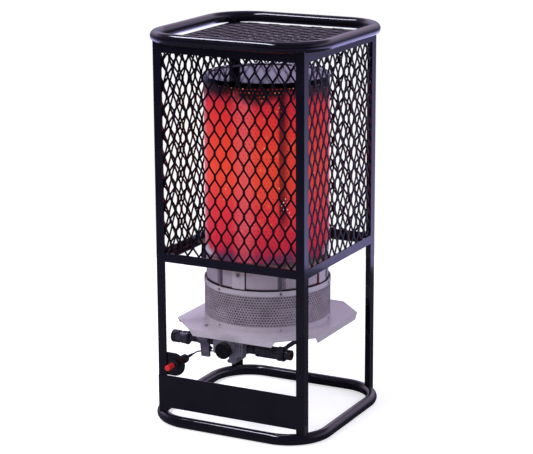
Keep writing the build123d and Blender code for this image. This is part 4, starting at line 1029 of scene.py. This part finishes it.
class HEATER_OT_stage(bpy.types.Operator):
    """Adds the floor, the lamps, the world and the camera"""

    bl_idname = "heater.stage"
    bl_label = "Stage"

    def execute(self, context):
        """Sets the studio up."""
        studio = context.scene.heater_studio
        deselect()
        bpy.ops.mesh.primitive_circle_add(vertices=128, radius=studio.floor, fill_type="NGON")
        floor = context.object
        floor.name = "floor"
        floor.data.materials.append(floor_finish())
        studio_world()
        for lamp in LAMPS:
            softbox(*lamp)
        context.scene.view_settings.view_transform = "Standard"
        lens = bpy.data.cameras.new("camera")
        lens.sensor_width = SENSOR_WIDTH
        lens.lens = CAMERA_LENS
        camera = bpy.data.objects.new("camera", lens)
        context.scene.collection.objects.link(camera)
        flat = cos(studio.elevation)
        back = Vector((sin(studio.azimuth) * flat, -cos(studio.azimuth) * flat, sin(studio.elevation)))
        camera.location = CAMERA_TARGET + back * studio.distance
        camera.rotation_mode = "QUATERNION"
        level = (-back).to_track_quat("-Z", "Y")
        camera.rotation_quaternion = level @ Quaternion((0, 0, 1), studio.roll)
        context.scene.camera = camera
        return {"FINISHED"}


OPERATORS = (
    HEATER_OT_stage,
    HEATER_OT_finishes,
    HEATER_OT_guard_panels,
    HEATER_OT_top_grille,
    HEATER_OT_intake_screen,
    HEATER_OT_emitter,
    HEATER_OT_gussets,
    HEATER_OT_stiffeners,
    HEATER_OT_bracket,
    HEATER_OT_valve_trim,
    HEATER_OT_boot,
)
GROUPS = {
    "heater_net": HeaterNet,
    "heater_screens": HeaterScreens,
    "heater_colours": HeaterColours,
    "heater_studio": HeaterStudio,
}


class HEATER_PT_looks(bpy.types.Panel):
    """Lists the heater's pieces"""

    bl_idname = "HEATER_PT_looks"
    bl_label = "Radiant gas heater"
    bl_space_type = "VIEW_3D"
    bl_region_type = "UI"
    bl_category = "Heater"

    def draw(self, context):
        """Draws a button for each operator."""
        for operator in OPERATORS:
            self.layout.operator(operator.bl_idname)


def register():
    """Registers the classes and hangs the property groups on the scene."""
    for kind in (*GROUPS.values(), *OPERATORS, HEATER_PT_looks):
        bpy.utils.register_class(kind)
    for name, group in GROUPS.items():
        setattr(bpy.types.Scene, name, PointerProperty(type=group))


def unregister():
    """Takes the property groups and the classes away."""
    for name in GROUPS:
        delattr(bpy.types.Scene, name)
    for kind in (HEATER_PT_looks, *reversed(OPERATORS), *GROUPS.values()):
        bpy.utils.unregister_class(kind)


def main():
    """Makes the whole scene."""
    register()
    for operator in OPERATORS:
        group, name = operator.bl_idname.split(".")
        getattr(getattr(bpy.ops, group), name)()


if __name__ == "__main__":
    main()
